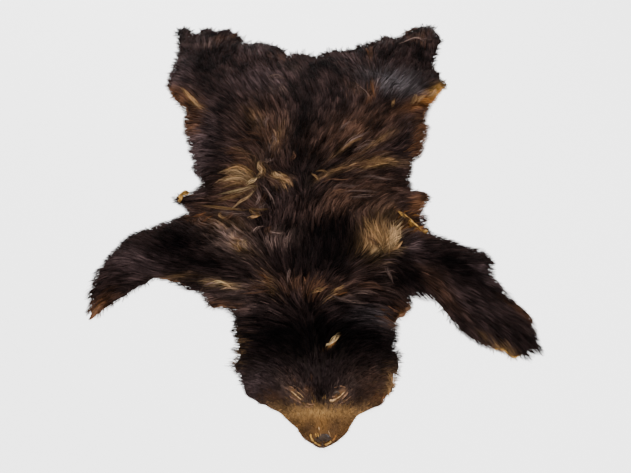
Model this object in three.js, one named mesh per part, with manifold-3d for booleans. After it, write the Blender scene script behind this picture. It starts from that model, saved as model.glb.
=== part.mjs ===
// A bearskin rug: one tanned hide laid flat on the floor, fur up, with the head skin flattened
// towards -Y, the hind legs towards +Y and the forelegs spread to both sides.
// Millimetres, +Z up. The underside is flat on z = 0 and the origin is the middle of the outline.
import * as THREE from "three";
import { mergeVertices } from "three/addons/utils/BufferGeometryUtils.js";
import Module from "manifold-3d";

const wasm = await Module();
wasm.setup();

// Driving dimensions
const POINT_SPACING = 22; // between neighbouring points of the fur's surface
const FACE_SPACING = 12; // the closer rows of points over the face
const FACE_END = -560; // the closer rows end here, at the forehead
const RIM_HEIGHT = 6; // hide and hair at the very edge
const COAT_HEIGHT = 27; // the lying coat, away from the edge and from any hump or hollow
const LEAST_RISE = 4; // what the coat always keeps above the rim
const SHOULDER = 75; // how far in from the edge the coat reaches its height
const SNAP_SHARE = 0.22; // points nearer to the outline than this share of the spacing move onto it
const EDGE_STEPS = 5; // straight pieces between two sections of an outline

// The lumps of the coat: thick locks that lie along the hair, and shorter tufts on them
const LOCK = { long: 105, wide: 48, rise: 7 };
const TUFT = { long: 58, wide: 44, rise: 4.5 };
const BARE_FACE = { from: -655, to: -535 }; // the lumps fade out from the forehead to the muzzle

// How the hair lies. Angles are in degrees up from straight sideways, so 90 points to the tail.
const HAIR = {
  spine: 90, // on the spine line
  side: 20, // this far out and farther:
  sideFrom: 120,
  hip: 80, // over the hind legs, reached between these two places along the hide:
  hipFrom: 250,
  hipTo: 520,
  paw: -50, // down the forelegs, reached between these two distances from the spine:
  legFrom: 330,
  legTo: 420,
};

// Locks of longer hair that reach past the edge and lie on the floor
const LOCKS_FROM = -655; // the muzzle, nearer than this, has none
const RIM_LOCK = {
  spacing: 30,
  inside: 18, // the root's distance in from the edge
  shortest: 12,
  longest: 30,
  width: 30,
  widthSpread: 0.2,
  height: 5.6,
  lean: 0.6, // how much the way of the hair turns a lock away from square to the edge
  bend: 15, // most degrees that a lock curls to either side
  waist: { along: 0.6, width: 0.66, height: 0.8 }, // its middle section, as shares of the root's
};

// Each form is a strip of hide: a row for each section across it, with the section's middle (x, y),
// the way the strip runs there (turn, in degrees from +X) and half its width.
const FORMS = {
  trunk: [
    { x: 33, y: -743, turn: 90, half: 14 },
    { x: 32, y: -724, turn: 90, half: 42 },
    { x: 31, y: -696, turn: 90, half: 64 },
    { x: 32, y: -671, turn: 90, half: 84 },
    { x: 30, y: -650, turn: 90, half: 128 },
    { x: 26, y: -628, turn: 90, half: 153 },
    { x: 22, y: -596, turn: 90, half: 164 },
    { x: 20, y: -561, turn: 90, half: 182 },
    { x: 18, y: -516, turn: 90, half: 187 },
    { x: 16, y: -471, turn: 90, half: 190 },
    { x: 26, y: -431, turn: 90, half: 205 },
    { x: 32, y: -396, turn: 90, half: 222 },
    { x: 10, y: -346, turn: 90, half: 270 },
    { x: 0, y: -276, turn: 90, half: 310 },
    { x: -5, y: -196, turn: 90, half: 325 },
    { x: -12, y: -126, turn: 90, half: 325 },
    { x: -14, y: -76, turn: 90, half: 316 },
    { x: -12, y: -24, turn: 90, half: 298 },
    { x: -20, y: 44, turn: 90, half: 318 },
    { x: -16, y: 104, turn: 90, half: 341 },
    { x: -13, y: 184, turn: 90, half: 372 },
    { x: -16, y: 274, turn: 90, half: 387 },
    { x: -15, y: 334, turn: 90, half: 385 },
    { x: -10, y: 434, turn: 90, half: 330 },
    { x: 0, y: 504, turn: 90, half: 230 },
    { x: 5, y: 544, turn: 90, half: 135 },
    { x: 5, y: 559, turn: 90, half: 105 },
  ],
  leftForeleg: [
    { x: -240, y: -250, turn: 180, half: 130 },
    { x: -340, y: -242, turn: 180, half: 106 },
    { x: -403, y: -246, turn: 188, half: 84 },
    { x: -455, y: -277, turn: 212, half: 75 },
    { x: -498, y: -328, turn: 238, half: 54 },
    { x: -521, y: -382, turn: 252, half: 32 },
    { x: -532, y: -428, turn: 256, half: 11 },
  ],
  rightForeleg: [
    { x: 240, y: -281, turn: -20, half: 110 },
    { x: 328, y: -292, turn: -24, half: 92 },
    { x: 393, y: -338, turn: -40, half: 98 },
    { x: 424, y: -398, turn: -48, half: 82 },
    { x: 462, y: -450, turn: -50, half: 74 },
    { x: 503, y: -486, turn: -52, half: 60 },
    { x: 527, y: -526, turn: -62, half: 33 },
  ],
  leftHindLeg: [
    { x: -255, y: 274, turn: 92, half: 135 },
    { x: -300, y: 364, turn: 92, half: 162 },
    { x: -300, y: 434, turn: 90, half: 180 },
    { x: -285, y: 504, turn: 90, half: 190 },
    { x: -281, y: 564, turn: 88, half: 194 },
    { x: -300, y: 609, turn: 88, half: 166 },
    { x: -340, y: 644, turn: 90, half: 110 },
    { x: -355, y: 689, turn: 92, half: 66 },
  ],
  rightHindLeg: [
    { x: 250, y: 274, turn: 88, half: 125 },
    { x: 275, y: 344, turn: 86, half: 145 },
    { x: 270, y: 404, turn: 88, half: 160 },
    { x: 252, y: 484, turn: 90, half: 166 },
    { x: 256, y: 544, turn: 90, half: 172 },
    { x: 318, y: 592, turn: 72, half: 124 },
    { x: 370, y: 636, turn: 60, half: 86 },
    { x: 412, y: 682, turn: 58, half: 50 },
    { x: 438, y: 726, turn: 58, half: 24 },
  ],
};

// Small tabs and stubs of hide at the edge, in the same columns.
const TABS = {
  leftNeckFlap: [
    { x: -205, y: -346, turn: 270, half: 45 },
    { x: -215, y: -394, turn: 268, half: 36 },
    { x: -218, y: -412, turn: 266, half: 28 },
  ],
  leftFlankTab: [
    { x: -315, y: -98, turn: 172, half: 26 },
    { x: -352, y: -82, turn: 150, half: 17 },
    { x: -374, y: -56, turn: 108, half: 10 },
  ],
  rightFlankTab: [
    { x: 280, y: -82, turn: 8, half: 36 },
    { x: 312, y: -72, turn: 24, half: 22 },
    { x: 336, y: -56, turn: 36, half: 10 },
  ],
  rightHipTab: [
    { x: 380, y: 432, turn: 0, half: 60 },
    { x: 428, y: 444, turn: 10, half: 36 },
    { x: 444, y: 450, turn: 14, half: 20 },
  ],
  leftHindStub: [
    { x: -450, y: 574, turn: 96, half: 30 },
    { x: -463, y: 644, turn: 98, half: 22 },
    { x: -478, y: 730, turn: 102, half: 9 },
  ],
  leftOuterToe: [
    { x: -395, y: 664, turn: 96, half: 26 },
    { x: -398, y: 712, turn: 96, half: 13 },
  ],
  leftInnerToe: [
    { x: -325, y: 664, turn: 86, half: 34 },
    { x: -318, y: 712, turn: 84, half: 20 },
  ],
  leftRumpLobe: [
    { x: -130, y: 544, turn: 90, half: 60 },
    { x: -132, y: 592, turn: 90, half: 42 },
    { x: -134, y: 612, turn: 90, half: 20 },
  ],
  rightRumpLobe: [
    { x: 92, y: 534, turn: 90, half: 62 },
    { x: 96, y: 576, turn: 88, half: 40 },
    { x: 98, y: 586, turn: 88, half: 26 },
  ],
  rightElbow: [
    { x: 415, y: -316, turn: 48, half: 46 },
    { x: 456, y: -278, turn: 46, half: 34 },
    { x: 474, y: -262, turn: 44, half: 20 },
  ],
  leftCheekTuft: [
    { x: -140, y: -566, turn: 184, half: 20 },
    { x: -178, y: -569, turn: 186, half: 5 },
  ],
  rightCheekTuft: [
    { x: 180, y: -551, turn: -12, half: 22 },
    { x: 215, y: -559, turn: -16, half: 6 },
  ],
  rightHindStub: [
    { x: 428, y: 632, turn: 20, half: 22 },
    { x: 466, y: 656, turn: 34, half: 9 },
  ],
};

// Humps (rise above 0) and hollows of the coat and of the skin under it. Each is an oval of the
// given length and width that runs in the direction turn; the coat rises in the middle by rise.
const RELIEF = [
  { name: "left shoulder", x: -175, y: -186, turn: 20, long: 240, wide: 150, rise: 13 },
  { name: "right shoulder", x: 190, y: -206, turn: -30, long: 240, wide: 160, rise: 14 },
  { name: "ruff of the neck", x: 20, y: -416, turn: 0, long: 330, wide: 150, rise: 13 },
  { name: "saddle", x: 60, y: -126, turn: 0, long: 260, wide: 130, rise: 10 },
  { name: "left loin", x: -170, y: 114, turn: 60, long: 300, wide: 170, rise: 9 },
  { name: "right loin", x: 160, y: 124, turn: 115, long: 320, wide: 170, rise: 8 },
  { name: "left ham", x: -250, y: 454, turn: 80, long: 260, wide: 200, rise: 13 },
  { name: "right ham", x: 230, y: 444, turn: 100, long: 260, wide: 200, rise: 13 },
  { name: "parting along the back", x: 0, y: 74, turn: 90, long: 560, wide: 46, rise: -9 },
  { name: "parting over the withers", x: -20, y: -231, turn: 75, long: 150, wide: 50, rise: -7 },
  { name: "parting on the left shoulder", x: -120, y: -56, turn: 35, long: 150, wide: 46, rise: -8 },
  { name: "swirl on the right shoulder", x: 215, y: -136, turn: 60, long: 130, wide: 60, rise: -9 },
  { name: "crease behind the left foreleg", x: -300, y: -126, turn: 165, long: 150, wide: 50, rise: -10 },
  { name: "crease before the left foreleg", x: -215, y: -336, turn: 150, long: 130, wide: 50, rise: -12 },
  { name: "crease before the right foreleg", x: 265, y: -346, turn: 50, long: 120, wide: 50, rise: -12 },
  { name: "left elbow", x: -430, y: -231, turn: 200, long: 150, wide: 80, rise: 5 },
  { name: "right elbow", x: 440, y: -286, turn: -45, long: 120, wide: 70, rise: 8 },
  { name: "right wrist", x: 495, y: -406, turn: -60, long: 90, wide: 60, rise: 6 },
  { name: "groin fold, left", x: -430, y: 354, turn: 40, long: 170, wide: 60, rise: -12 },
  { name: "groin fold, right", x: 380, y: 344, turn: 140, long: 150, wide: 60, rise: -12 },
  { name: "rolled hem of the right hind leg", x: 385, y: 624, turn: 58, long: 200, wide: 60, rise: 16 },
  { name: "roll at the left hind foot", x: -365, y: 656, turn: 10, long: 150, wide: 50, rise: 12 },
  { name: "notch in the rump", x: -60, y: 529, turn: 90, long: 120, wide: 50, rise: -14 },
  { name: "flat of the face", x: 25, y: -616, turn: 0, long: 330, wide: 150, rise: -13 },
  { name: "muzzle", x: 32, y: -706, turn: 90, long: 130, wide: 110, rise: -12 },
  { name: "bridge of the nose", x: 30, y: -666, turn: 90, long: 110, wide: 46, rise: 7 },
  { name: "brow", x: 28, y: -576, turn: 0, long: 150, wide: 46, rise: 6 },
  { name: "left eye socket", x: -20, y: -628, turn: -20, long: 60, wide: 34, rise: -5 },
  { name: "right eye socket", x: 82, y: -628, turn: 20, long: 60, wide: 34, rise: -5 },
];

// The face: eyelids closed to slits, and the dried nose pad.
const EYE = { half: 13, lid: 3.6, squash: 0.5, slant: 22, y: -628, left: -20, right: 82 };
const LID_SIDES = 6;
const LID_STEPS = 14;
const NOSE = { x: 33, y: -728, z: 8, halfWidth: 21, halfLength: 15, halfHeight: 7.5 };
const NOSE_STEPS = { round: 14, down: 8 };

const COLOUR = 0x1d1512;

const radians = THREE.MathUtils.degToRad;

// A number from 0 to 1 that depends on two whole numbers and on nothing else.
function scatter(i, j) {
  const s = Math.sin(i * 127.1 + j * 311.7) * 43758.5453;
  return s - Math.floor(s);
}

// Smooth noise from -1 to 1, with one swell to each unit of u and v.
function swell(u, v) {
  const i = Math.floor(u);
  const j = Math.floor(v);
  const ease = (t) => t * t * (3 - 2 * t);
  const a = THREE.MathUtils.lerp(scatter(i, j), scatter(i + 1, j), ease(u - i));
  const b = THREE.MathUtils.lerp(scatter(i, j + 1), scatter(i + 1, j + 1), ease(u - i));
  return 2 * THREE.MathUtils.lerp(a, b, ease(v - j)) - 1;
}

// The outline of a strip: a smooth curve through the left ends of its sections and back
// through the right ends.
function outline(sections) {
  const side = (sign) =>
    sections.map(({ x, y, turn, half }) => {
      const across = radians(turn + 90);
      return new THREE.Vector2(
        x + sign * half * Math.cos(across),
        y + sign * half * Math.sin(across),
      );
    });
  const steps = (sections.length - 1) * EDGE_STEPS;
  const out = new THREE.SplineCurve(side(1)).getPoints(steps);
  const back = new THREE.SplineCurve(side(-1).reverse()).getPoints(steps);
  return [...out, ...back];
}

// How far the point (x, y) lies inside a closed outline, below 0 where it is outside.
function depthInside(points, x, y) {
  let nearest = Infinity;
  let inside = false;
  points.forEach((a, i) => {
    const b = points[(i + 1) % points.length];
    const runX = b.x - a.x;
    const runY = b.y - a.y;
    const along = ((x - a.x) * runX + (y - a.y) * runY) / (runX ** 2 + runY ** 2 || 1);
    const t = Math.min(Math.max(along, 0), 1);
    nearest = Math.min(nearest, (x - a.x - t * runX) ** 2 + (y - a.y - t * runY) ** 2);
    if (a.y > y !== b.y > y && x < a.x + ((y - a.y) / runY) * runX) inside = !inside;
  });
  return Math.sqrt(nearest) * (inside ? 1 : -1);
}

const outlines = [...Object.values(FORMS), ...Object.values(TABS)].map(outline);

// How far a point lies inside the whole hide: its depth in the strip that holds it best.
function reach(x, y) {
  return Math.max(...outlines.map((points) => depthInside(points, x, y)));
}

// The way the hair lies at a point, as a unit vector: back from the nose on the head, out from
// the spine and a little towards the tail on the body, and along each foreleg to its paw.
function lie(x, y) {
  const { lerp, smoothstep, clamp } = THREE.MathUtils;
  const side = Math.sign(x) || 1;
  const hip = smoothstep(y, HAIR.hipFrom, HAIR.hipTo);
  const leg = y < 0 ? smoothstep(Math.abs(x), HAIR.legFrom, HAIR.legTo) : 0;
  const body = lerp(HAIR.spine, HAIR.side, clamp(Math.abs(x) / HAIR.sideFrom, 0, 1));
  const angle = radians(leg ? lerp(HAIR.side, HAIR.paw, leg) : lerp(body, HAIR.hip, hip));
  return new THREE.Vector2(side * Math.cos(angle), Math.sin(angle));
}

// Height of the coat above the floor: it climbs from the rim, follows the humps and hollows,
// and is broken up by thick locks that run along the hair.
function coatHeight(x, y, depth) {
  const climb = 1 - (1 - THREE.MathUtils.clamp(depth / SHOULDER, 0, 1)) ** 2;
  let height = COAT_HEIGHT;
  for (const { x: cx, y: cy, turn, long, wide, rise } of RELIEF) {
    const c = Math.cos(radians(turn));
    const s = Math.sin(radians(turn));
    const u = ((x - cx) * c + (y - cy) * s) / (long / 2);
    const v = ((y - cy) * c - (x - cx) * s) / (wide / 2);
    height += rise * Math.exp(-(u ** 2 + v ** 2));
  }
  const way = lie(x, y);
  const along = x * way.x + y * way.y;
  const across = y * way.x - x * way.y;
  const lumps = [LOCK, TUFT].map(({ long, wide, rise }) => rise * swell(along / long, across / wide));
  const furry = THREE.MathUtils.smoothstep(y, BARE_FACE.from, BARE_FACE.to);
  const rise = Math.max(height - RIM_HEIGHT, LEAST_RISE) + furry * (lumps[0] + lumps[1]);
  return RIM_HEIGHT + climb * Math.max(rise, LEAST_RISE);
}

// Marks along an axis from start to end, spaced by the rule given for each place.
function marks(start, end, spacingAt) {
  const list = [start];
  while (list.at(-1) < end) list.push(list.at(-1) + spacingAt(list.at(-1)));
  return list;
}

// The hide as a net of triangles in plan, trimmed where reach() is 0. Points that are nearly on
// the outline move onto it first, so that trimming leaves no slivers.
function trimmedNet() {
  const all = outlines.flat();
  const low = Math.min(...all.map((p) => p.x)) - POINT_SPACING;
  const high = Math.max(...all.map((p) => p.x)) + POINT_SPACING;
  const near = Math.min(...all.map((p) => p.y)) - POINT_SPACING;
  const far = Math.max(...all.map((p) => p.y)) + POINT_SPACING;
  const columns = marks(low, high, () => POINT_SPACING);
  const rows = marks(near, far, (y) => (y < FACE_END ? FACE_SPACING : POINT_SPACING));
  const points = [];
  for (const y of rows) {
    for (const x of columns) {
      const depth = reach(x, y);
      const point = { x, y, depth };
      if (Math.abs(depth) < SNAP_SHARE * FACE_SPACING) {
        const slope = new THREE.Vector2(reach(x + 1, y) - depth, reach(x, y + 1) - depth);
        const move = -depth / Math.max(slope.length(), 0.5);
        slope.normalize();
        point.x += slope.x * move;
        point.y += slope.y * move;
        point.depth = 0;
      }
      points.push(point);
    }
  }
  const triangles = [];
  const cuts = new Map();
  const cut = (a, b) => {
    const key = Math.min(a, b) + "," + Math.max(a, b);
    if (!cuts.has(key)) {
      const p = points[a];
      const q = points[b];
      const t = p.depth / (p.depth - q.depth);
      points.push({
        x: THREE.MathUtils.lerp(p.x, q.x, t),
        y: THREE.MathUtils.lerp(p.y, q.y, t),
        depth: 0,
      });
      cuts.set(key, points.length - 1);
    }
    return cuts.get(key);
  };
  const keep = (corners) => {
    const kept = [];
    corners.forEach((a, i) => {
      const b = corners[(i + 1) % 3];
      if (points[a].depth >= 0) kept.push(a);
      if (points[a].depth * points[b].depth < 0) kept.push(cut(a, b));
    });
    if (corners.every((a) => points[a].depth <= 0)) return;
    for (let i = 1; i + 1 < kept.length; i++) triangles.push([kept[0], kept[i], kept[i + 1]]);
  };
  const wide = columns.length;
  for (let j = 0; j + 1 < rows.length; j++) {
    for (let i = 0; i + 1 < wide; i++) {
      const a = j * wide + i;
      const [b, c, d] = [a + 1, a + wide + 1, a + wide];
      const leaning = (i + j) % 2 === 0;
      keep(leaning ? [a, b, c] : [a, b, d]);
      keep(leaning ? [a, c, d] : [b, c, d]);
    }
  }
  return { points, triangles };
}

// The edge of the net, as one closed loop of point numbers in counter-clockwise order.
function rimLoop(triangles) {
  const next = new Map();
  const seen = new Set(triangles.flatMap(([a, b, c]) => [a + ">" + b, b + ">" + c, c + ">" + a]));
  for (const [a, b, c] of triangles) {
    for (const [from, to] of [[a, b], [b, c], [c, a]]) {
      if (!seen.has(to + ">" + from)) next.set(from, to);
    }
  }
  const loop = [next.keys().next().value];
  while (next.get(loop.at(-1)) !== loop[0]) loop.push(next.get(loop.at(-1)));
  return loop;
}

// A closed solid from corner positions and triangles that face out.
function solid(corners, triangles) {
  return new wasm.Manifold(
    new wasm.Mesh({
      numProp: 3,
      vertProperties: new Float32Array(corners.flat()),
      triVerts: new Uint32Array(triangles.flat()),
    }),
  );
}

// A closed three.js geometry, moved to its place, as a solid.
function solidOf(geometry, matrix) {
  const bare = geometry.clone().applyMatrix4(matrix);
  bare.deleteAttribute("normal");
  bare.deleteAttribute("uv");
  const merged = mergeVertices(bare, 1e-3);
  return new wasm.Manifold(
    new wasm.Mesh({
      numProp: 3,
      vertProperties: merged.attributes.position.array,
      triVerts: new Uint32Array(merged.index.array),
    }),
  );
}

// The slab of hide and lying coat: the lumpy top, a flat underside and the thin rim between.
function coatSolid({ points, triangles }, loop) {
  const corners = [];
  const numbers = new Map();
  for (const i of new Set(triangles.flat())) {
    const { x, y, depth } = points[i];
    numbers.set(i, corners.length);
    corners.push([x, y, coatHeight(x, y, depth)]);
  }
  const faces = triangles.map((triangle) => triangle.map((i) => numbers.get(i)));
  const foot = new Map();
  for (const i of loop) {
    foot.set(i, corners.length);
    corners.push([points[i].x, points[i].y, 0]);
  }
  loop.forEach((i, k) => {
    const j = loop[(k + 1) % loop.length];
    faces.push([numbers.get(j), numbers.get(i), foot.get(i)]);
    faces.push([numbers.get(j), foot.get(i), foot.get(j)]);
  });
  const plan = loop.map((i) => new THREE.Vector2(points[i].x, points[i].y));
  for (const [a, b, c] of THREE.ShapeUtils.triangulateShape(plan, [])) {
    faces.push([foot.get(loop[a]), foot.get(loop[c]), foot.get(loop[b])]);
  }
  return solid(corners, faces);
}

// One lock of hair: three-sided, flat underneath, bent a little and drawn out to a thin tip.
function lockSolid(root, heading, length, width, height, bend) {
  const ring = (along, half, top) => {
    const turn = heading + bend * along;
    const [dx, dy] = [Math.cos(turn), Math.sin(turn)];
    const x = root.x + dx * along * length;
    const y = root.y + dy * along * length;
    return [[x + dy * half, y - dx * half, 0], [x - dy * half, y + dx * half, 0], [x, y, top]];
  };
  const { waist } = RIM_LOCK;
  const corners = [
    ...ring(0, width / 2, height),
    ...ring(waist.along, (width / 2) * waist.width, height * waist.height),
    ring(1, 0, 0)[0],
  ];
  const faces = [[2, 1, 0]];
  for (const [a, b] of [[0, 1], [1, 2], [2, 0]]) {
    faces.push([a, b, b + 3], [a, b + 3, a + 3], [a + 3, b + 3, 6]);
  }
  return solid(corners, faces);
}

// Locks of hair all round the rim, leaning from square to the edge towards the way the hair lies.
function rimLocks(points, loop) {
  const locks = [];
  let walked = 0;
  loop.forEach((i, k) => {
    const a = points[i];
    const b = points[loop[(k + 1) % loop.length]];
    walked += Math.hypot(b.x - a.x, b.y - a.y);
    if (walked < RIM_LOCK.spacing || a.y < LOCKS_FROM) return;
    walked = 0;
    const out = new THREE.Vector2(b.y - a.y, a.x - b.x).normalize();
    const hair = lie(a.x, a.y);
    const heading = out.clone().addScaledVector(hair, RIM_LOCK.lean).normalize();
    const free = Math.max(out.dot(hair), 0) * scatter(locks.length, 7);
    const length = THREE.MathUtils.lerp(RIM_LOCK.shortest, RIM_LOCK.longest, free);
    locks.push(
      lockSolid(
        new THREE.Vector2(a.x, a.y).addScaledVector(out, -RIM_LOCK.inside),
        heading.angle(),
        length + RIM_LOCK.inside,
        RIM_LOCK.width * (1 + RIM_LOCK.widthSpread * (2 * scatter(locks.length, 11) - 1)),
        RIM_LOCK.height,
        radians(RIM_LOCK.bend) * (2 * scatter(locks.length, 13) - 1),
      ),
    );
  });
  return locks;
}

// One eye: a ring of lid, squashed to an almond and slanted down towards the nose.
function eyelid(x, slant) {
  const ring = new THREE.TorusGeometry(EYE.half, EYE.lid, LID_SIDES, LID_STEPS);
  const ground = coatHeight(x, EYE.y, reach(x, EYE.y));
  const place = new THREE.Matrix4()
    .makeTranslation(x, EYE.y, ground)
    .multiply(new THREE.Matrix4().makeRotationZ(radians(slant)))
    .multiply(new THREE.Matrix4().makeScale(1, EYE.squash, 1));
  return solidOf(ring, place);
}

// The nose pad: a low oval button at the end of the muzzle.
function nosePad() {
  const ball = new THREE.SphereGeometry(1, NOSE_STEPS.round, NOSE_STEPS.down);
  const place = new THREE.Matrix4()
    .makeTranslation(NOSE.x, NOSE.y, NOSE.z)
    .multiply(new THREE.Matrix4().makeScale(NOSE.halfWidth, NOSE.halfLength, NOSE.halfHeight));
  return solidOf(ball, place);
}

function hide() {
  const net = trimmedNet();
  const loop = rimLoop(net.triangles);
  const joined = wasm.Manifold.union([
    coatSolid(net, loop),
    ...rimLocks(net.points, loop),
    eyelid(EYE.left, -EYE.slant),
    eyelid(EYE.right, EYE.slant),
    nosePad(),
  ]);
  const made = joined.getMesh();
  const geometry = new THREE.BufferGeometry();
  geometry.setAttribute("position", new THREE.BufferAttribute(made.vertProperties, 3));
  geometry.setIndex(new THREE.BufferAttribute(made.triVerts, 1));
  geometry.computeBoundingBox();
  const middle = geometry.boundingBox.getCenter(new THREE.Vector3());
  geometry.translate(-middle.x, -middle.y, 0);
  geometry.computeVertexNormals();
  const material = new THREE.MeshStandardMaterial({ color: COLOUR, roughness: 0.85, metalness: 0 });
  const mesh = new THREE.Mesh(geometry, material);
  mesh.name = "hide";
  return mesh;
}

const rug = new THREE.Group();
rug.add(hide());

export default rug;
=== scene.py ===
# %% Load the rug's frame
import math

import bpy
import numpy as np
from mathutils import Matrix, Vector
from mathutils.bvhtree import BVHTree


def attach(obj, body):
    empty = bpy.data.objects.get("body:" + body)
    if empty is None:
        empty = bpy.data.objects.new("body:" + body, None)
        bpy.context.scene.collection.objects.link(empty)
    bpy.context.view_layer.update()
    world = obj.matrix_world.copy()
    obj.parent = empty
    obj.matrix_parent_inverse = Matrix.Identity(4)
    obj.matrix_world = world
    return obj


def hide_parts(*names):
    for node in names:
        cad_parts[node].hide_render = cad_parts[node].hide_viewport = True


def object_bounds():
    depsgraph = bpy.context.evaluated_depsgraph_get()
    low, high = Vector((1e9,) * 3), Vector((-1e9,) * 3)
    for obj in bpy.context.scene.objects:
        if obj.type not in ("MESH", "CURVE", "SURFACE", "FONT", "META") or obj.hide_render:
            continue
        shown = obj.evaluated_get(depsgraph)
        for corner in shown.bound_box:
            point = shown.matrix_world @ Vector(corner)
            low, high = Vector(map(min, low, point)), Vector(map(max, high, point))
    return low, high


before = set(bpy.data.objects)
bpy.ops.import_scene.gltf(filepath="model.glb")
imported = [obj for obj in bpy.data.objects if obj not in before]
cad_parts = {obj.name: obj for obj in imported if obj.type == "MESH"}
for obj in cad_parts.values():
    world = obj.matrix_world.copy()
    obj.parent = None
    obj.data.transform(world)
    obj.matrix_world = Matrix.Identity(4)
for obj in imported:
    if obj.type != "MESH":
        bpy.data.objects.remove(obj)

cad_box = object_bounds()
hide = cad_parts["hide"]
MM = 0.001
print("hide, metres:", [round(v, 3) for v in (*cad_box[0], *cad_box[1])])

# %% [markdown]
# A bearskin rug is one tanned hide that lies fur side up. The CAD part is one lumpy slab that holds
# the skin and the whole depth of the lying coat. Everything that follows, such as the skin, the
# hair and the dried edges, has to sit in that slab, so the slab is measured first. One ray is cast
# straight down at every point of a square grid. That gives a height map of the coat, which is
# easier to work with in numpy than loose triangles.

# %% Read the height of the coat from the CAD solid
STEP = 5 * MM


def cast_down(solid, xs, ys):
    """Height of a solid's top above each point of a grid: where a ray from above first meets it, or 0."""
    mesh = solid.data
    corners = np.empty(len(mesh.vertices) * 3)
    mesh.vertices.foreach_get("co", corners)
    faces = np.empty(len(mesh.loops), dtype=np.int64)
    mesh.loops.foreach_get("vertex_index", faces)
    tree = BVHTree.FromPolygons(corners.reshape(-1, 3).tolist(), faces.reshape(-1, 3).tolist())
    hits = (tree.ray_cast((x, y, 1.0), (0, 0, -1))[0] for y in ys for x in xs)
    return np.array([0.0 if hit is None else hit.z for hit in hits]).reshape(len(ys), len(xs))


grid_x = np.arange(cad_box[0].x - 12 * STEP, cad_box[1].x + 12 * STEP, STEP)
grid_y = np.arange(cad_box[0].y - 12 * STEP, cad_box[1].y + 12 * STEP, STEP)
coat = cast_down(hide, grid_x, grid_y)
print("grid of", coat.shape, "highest fur", round(float(coat.max()), 4))

# %% [markdown]
# Two more maps come from the first one. How far a point lies inside the outline tells the skin
# where to end and the hair where to get thin. It is an exact distance, found along the rows and then
# along the columns. A blur takes the steps of the grid and the single locks of the rim out of it.

# %% Distance from the outline


def blurred(grid, cells):
    """Gaussian blur: each cell becomes the mean of its neighbours, weighted by exp(-d^2 / 2 cells^2)."""
    reach = np.arange(-int(3 * cells), int(3 * cells) + 1)
    weight = np.exp(-reach ** 2 / (2 * cells ** 2))
    for axis in (0, 1):
        grid = sum(w * np.roll(grid, int(r), axis) for w, r in zip(weight / weight.sum(), reach))
    return grid


def distance_to_outside(inside):
    """Distance of every cell to the nearest cell that is outside, in cells.

    Along a row it is the least of |column - column'|; then the least of row^2 + |line - line'|^2.
    """
    lines, columns = (np.arange(n, dtype=np.float32) for n in inside.shape)
    far = np.where(inside, np.float32(1e4), np.float32(0))
    row = (far[:, None, :] + np.abs(columns[:, None] - columns[None])[None]).min(axis=2)
    apart = (lines[:, None] - lines[None]) ** 2
    return np.sqrt((row.T[:, None, :] ** 2 + apart[None]).min(axis=2).T)


is_fur = coat > 0
depth = STEP * (distance_to_outside(is_fur) - distance_to_outside(~is_fur))
depth = blurred(depth, 1.0) + 2 * MM
top = blurred(np.where(is_fur, coat, 0.004), 1.0)
print("deepest point is", round(float(depth.max()), 3), "m from the edge")

# %% Look a map up anywhere


def at(grid, x, y):
    """A map's value at points x, y: the four cells round each point, weighted by nearness (bilinear)."""
    column = np.clip((x - grid_x[0]) / STEP, 0, len(grid_x) - 1.001)
    line = np.clip((y - grid_y[0]) / STEP, 0, len(grid_y) - 1.001)
    c, r = column.astype(int), line.astype(int)
    fc, fr = column - c, line - r
    if grid.ndim == 3:
        fc, fr = fc[..., None], fr[..., None]
    low = grid[r, c] * (1 - fc) + grid[r, c + 1] * fc
    high = grid[r + 1, c] * (1 - fc) + grid[r + 1, c + 1] * fc
    return low * (1 - fr) + high * fr


def smooth(low, high, value):
    """0 below low, 1 above high, and 3t^2 - 2t^3 between them."""
    t = np.clip((value - low) / (high - low), 0, 1)
    return t * t * (3 - 2 * t)


def oval(x, y, centre_x, centre_y, turn, long, wide):
    """1 in the middle of a turned oval, fading as exp(-q^2), where q is 1 on its rim. Sizes in mm."""
    c, s = math.cos(math.radians(turn)), math.sin(math.radians(turn))
    u, v = x / MM - centre_x, y / MM - centre_y
    q = ((u * c + v * s) / long) ** 2 + ((v * c - u * s) / wide) ** 2
    return np.exp(-q)


plan_x, plan_y = np.meshgrid(grid_x, grid_y)
print("maps are ready")

# %% [markdown]
# The solid's outline is made of straight locks. The real edge goes in and out a little more, where
# single tufts stick out and where the hair has been worn away. A short table of ovals moves the edge
# line out or in by a few millimetres, and the skin and the hair then both follow the new line.

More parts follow.
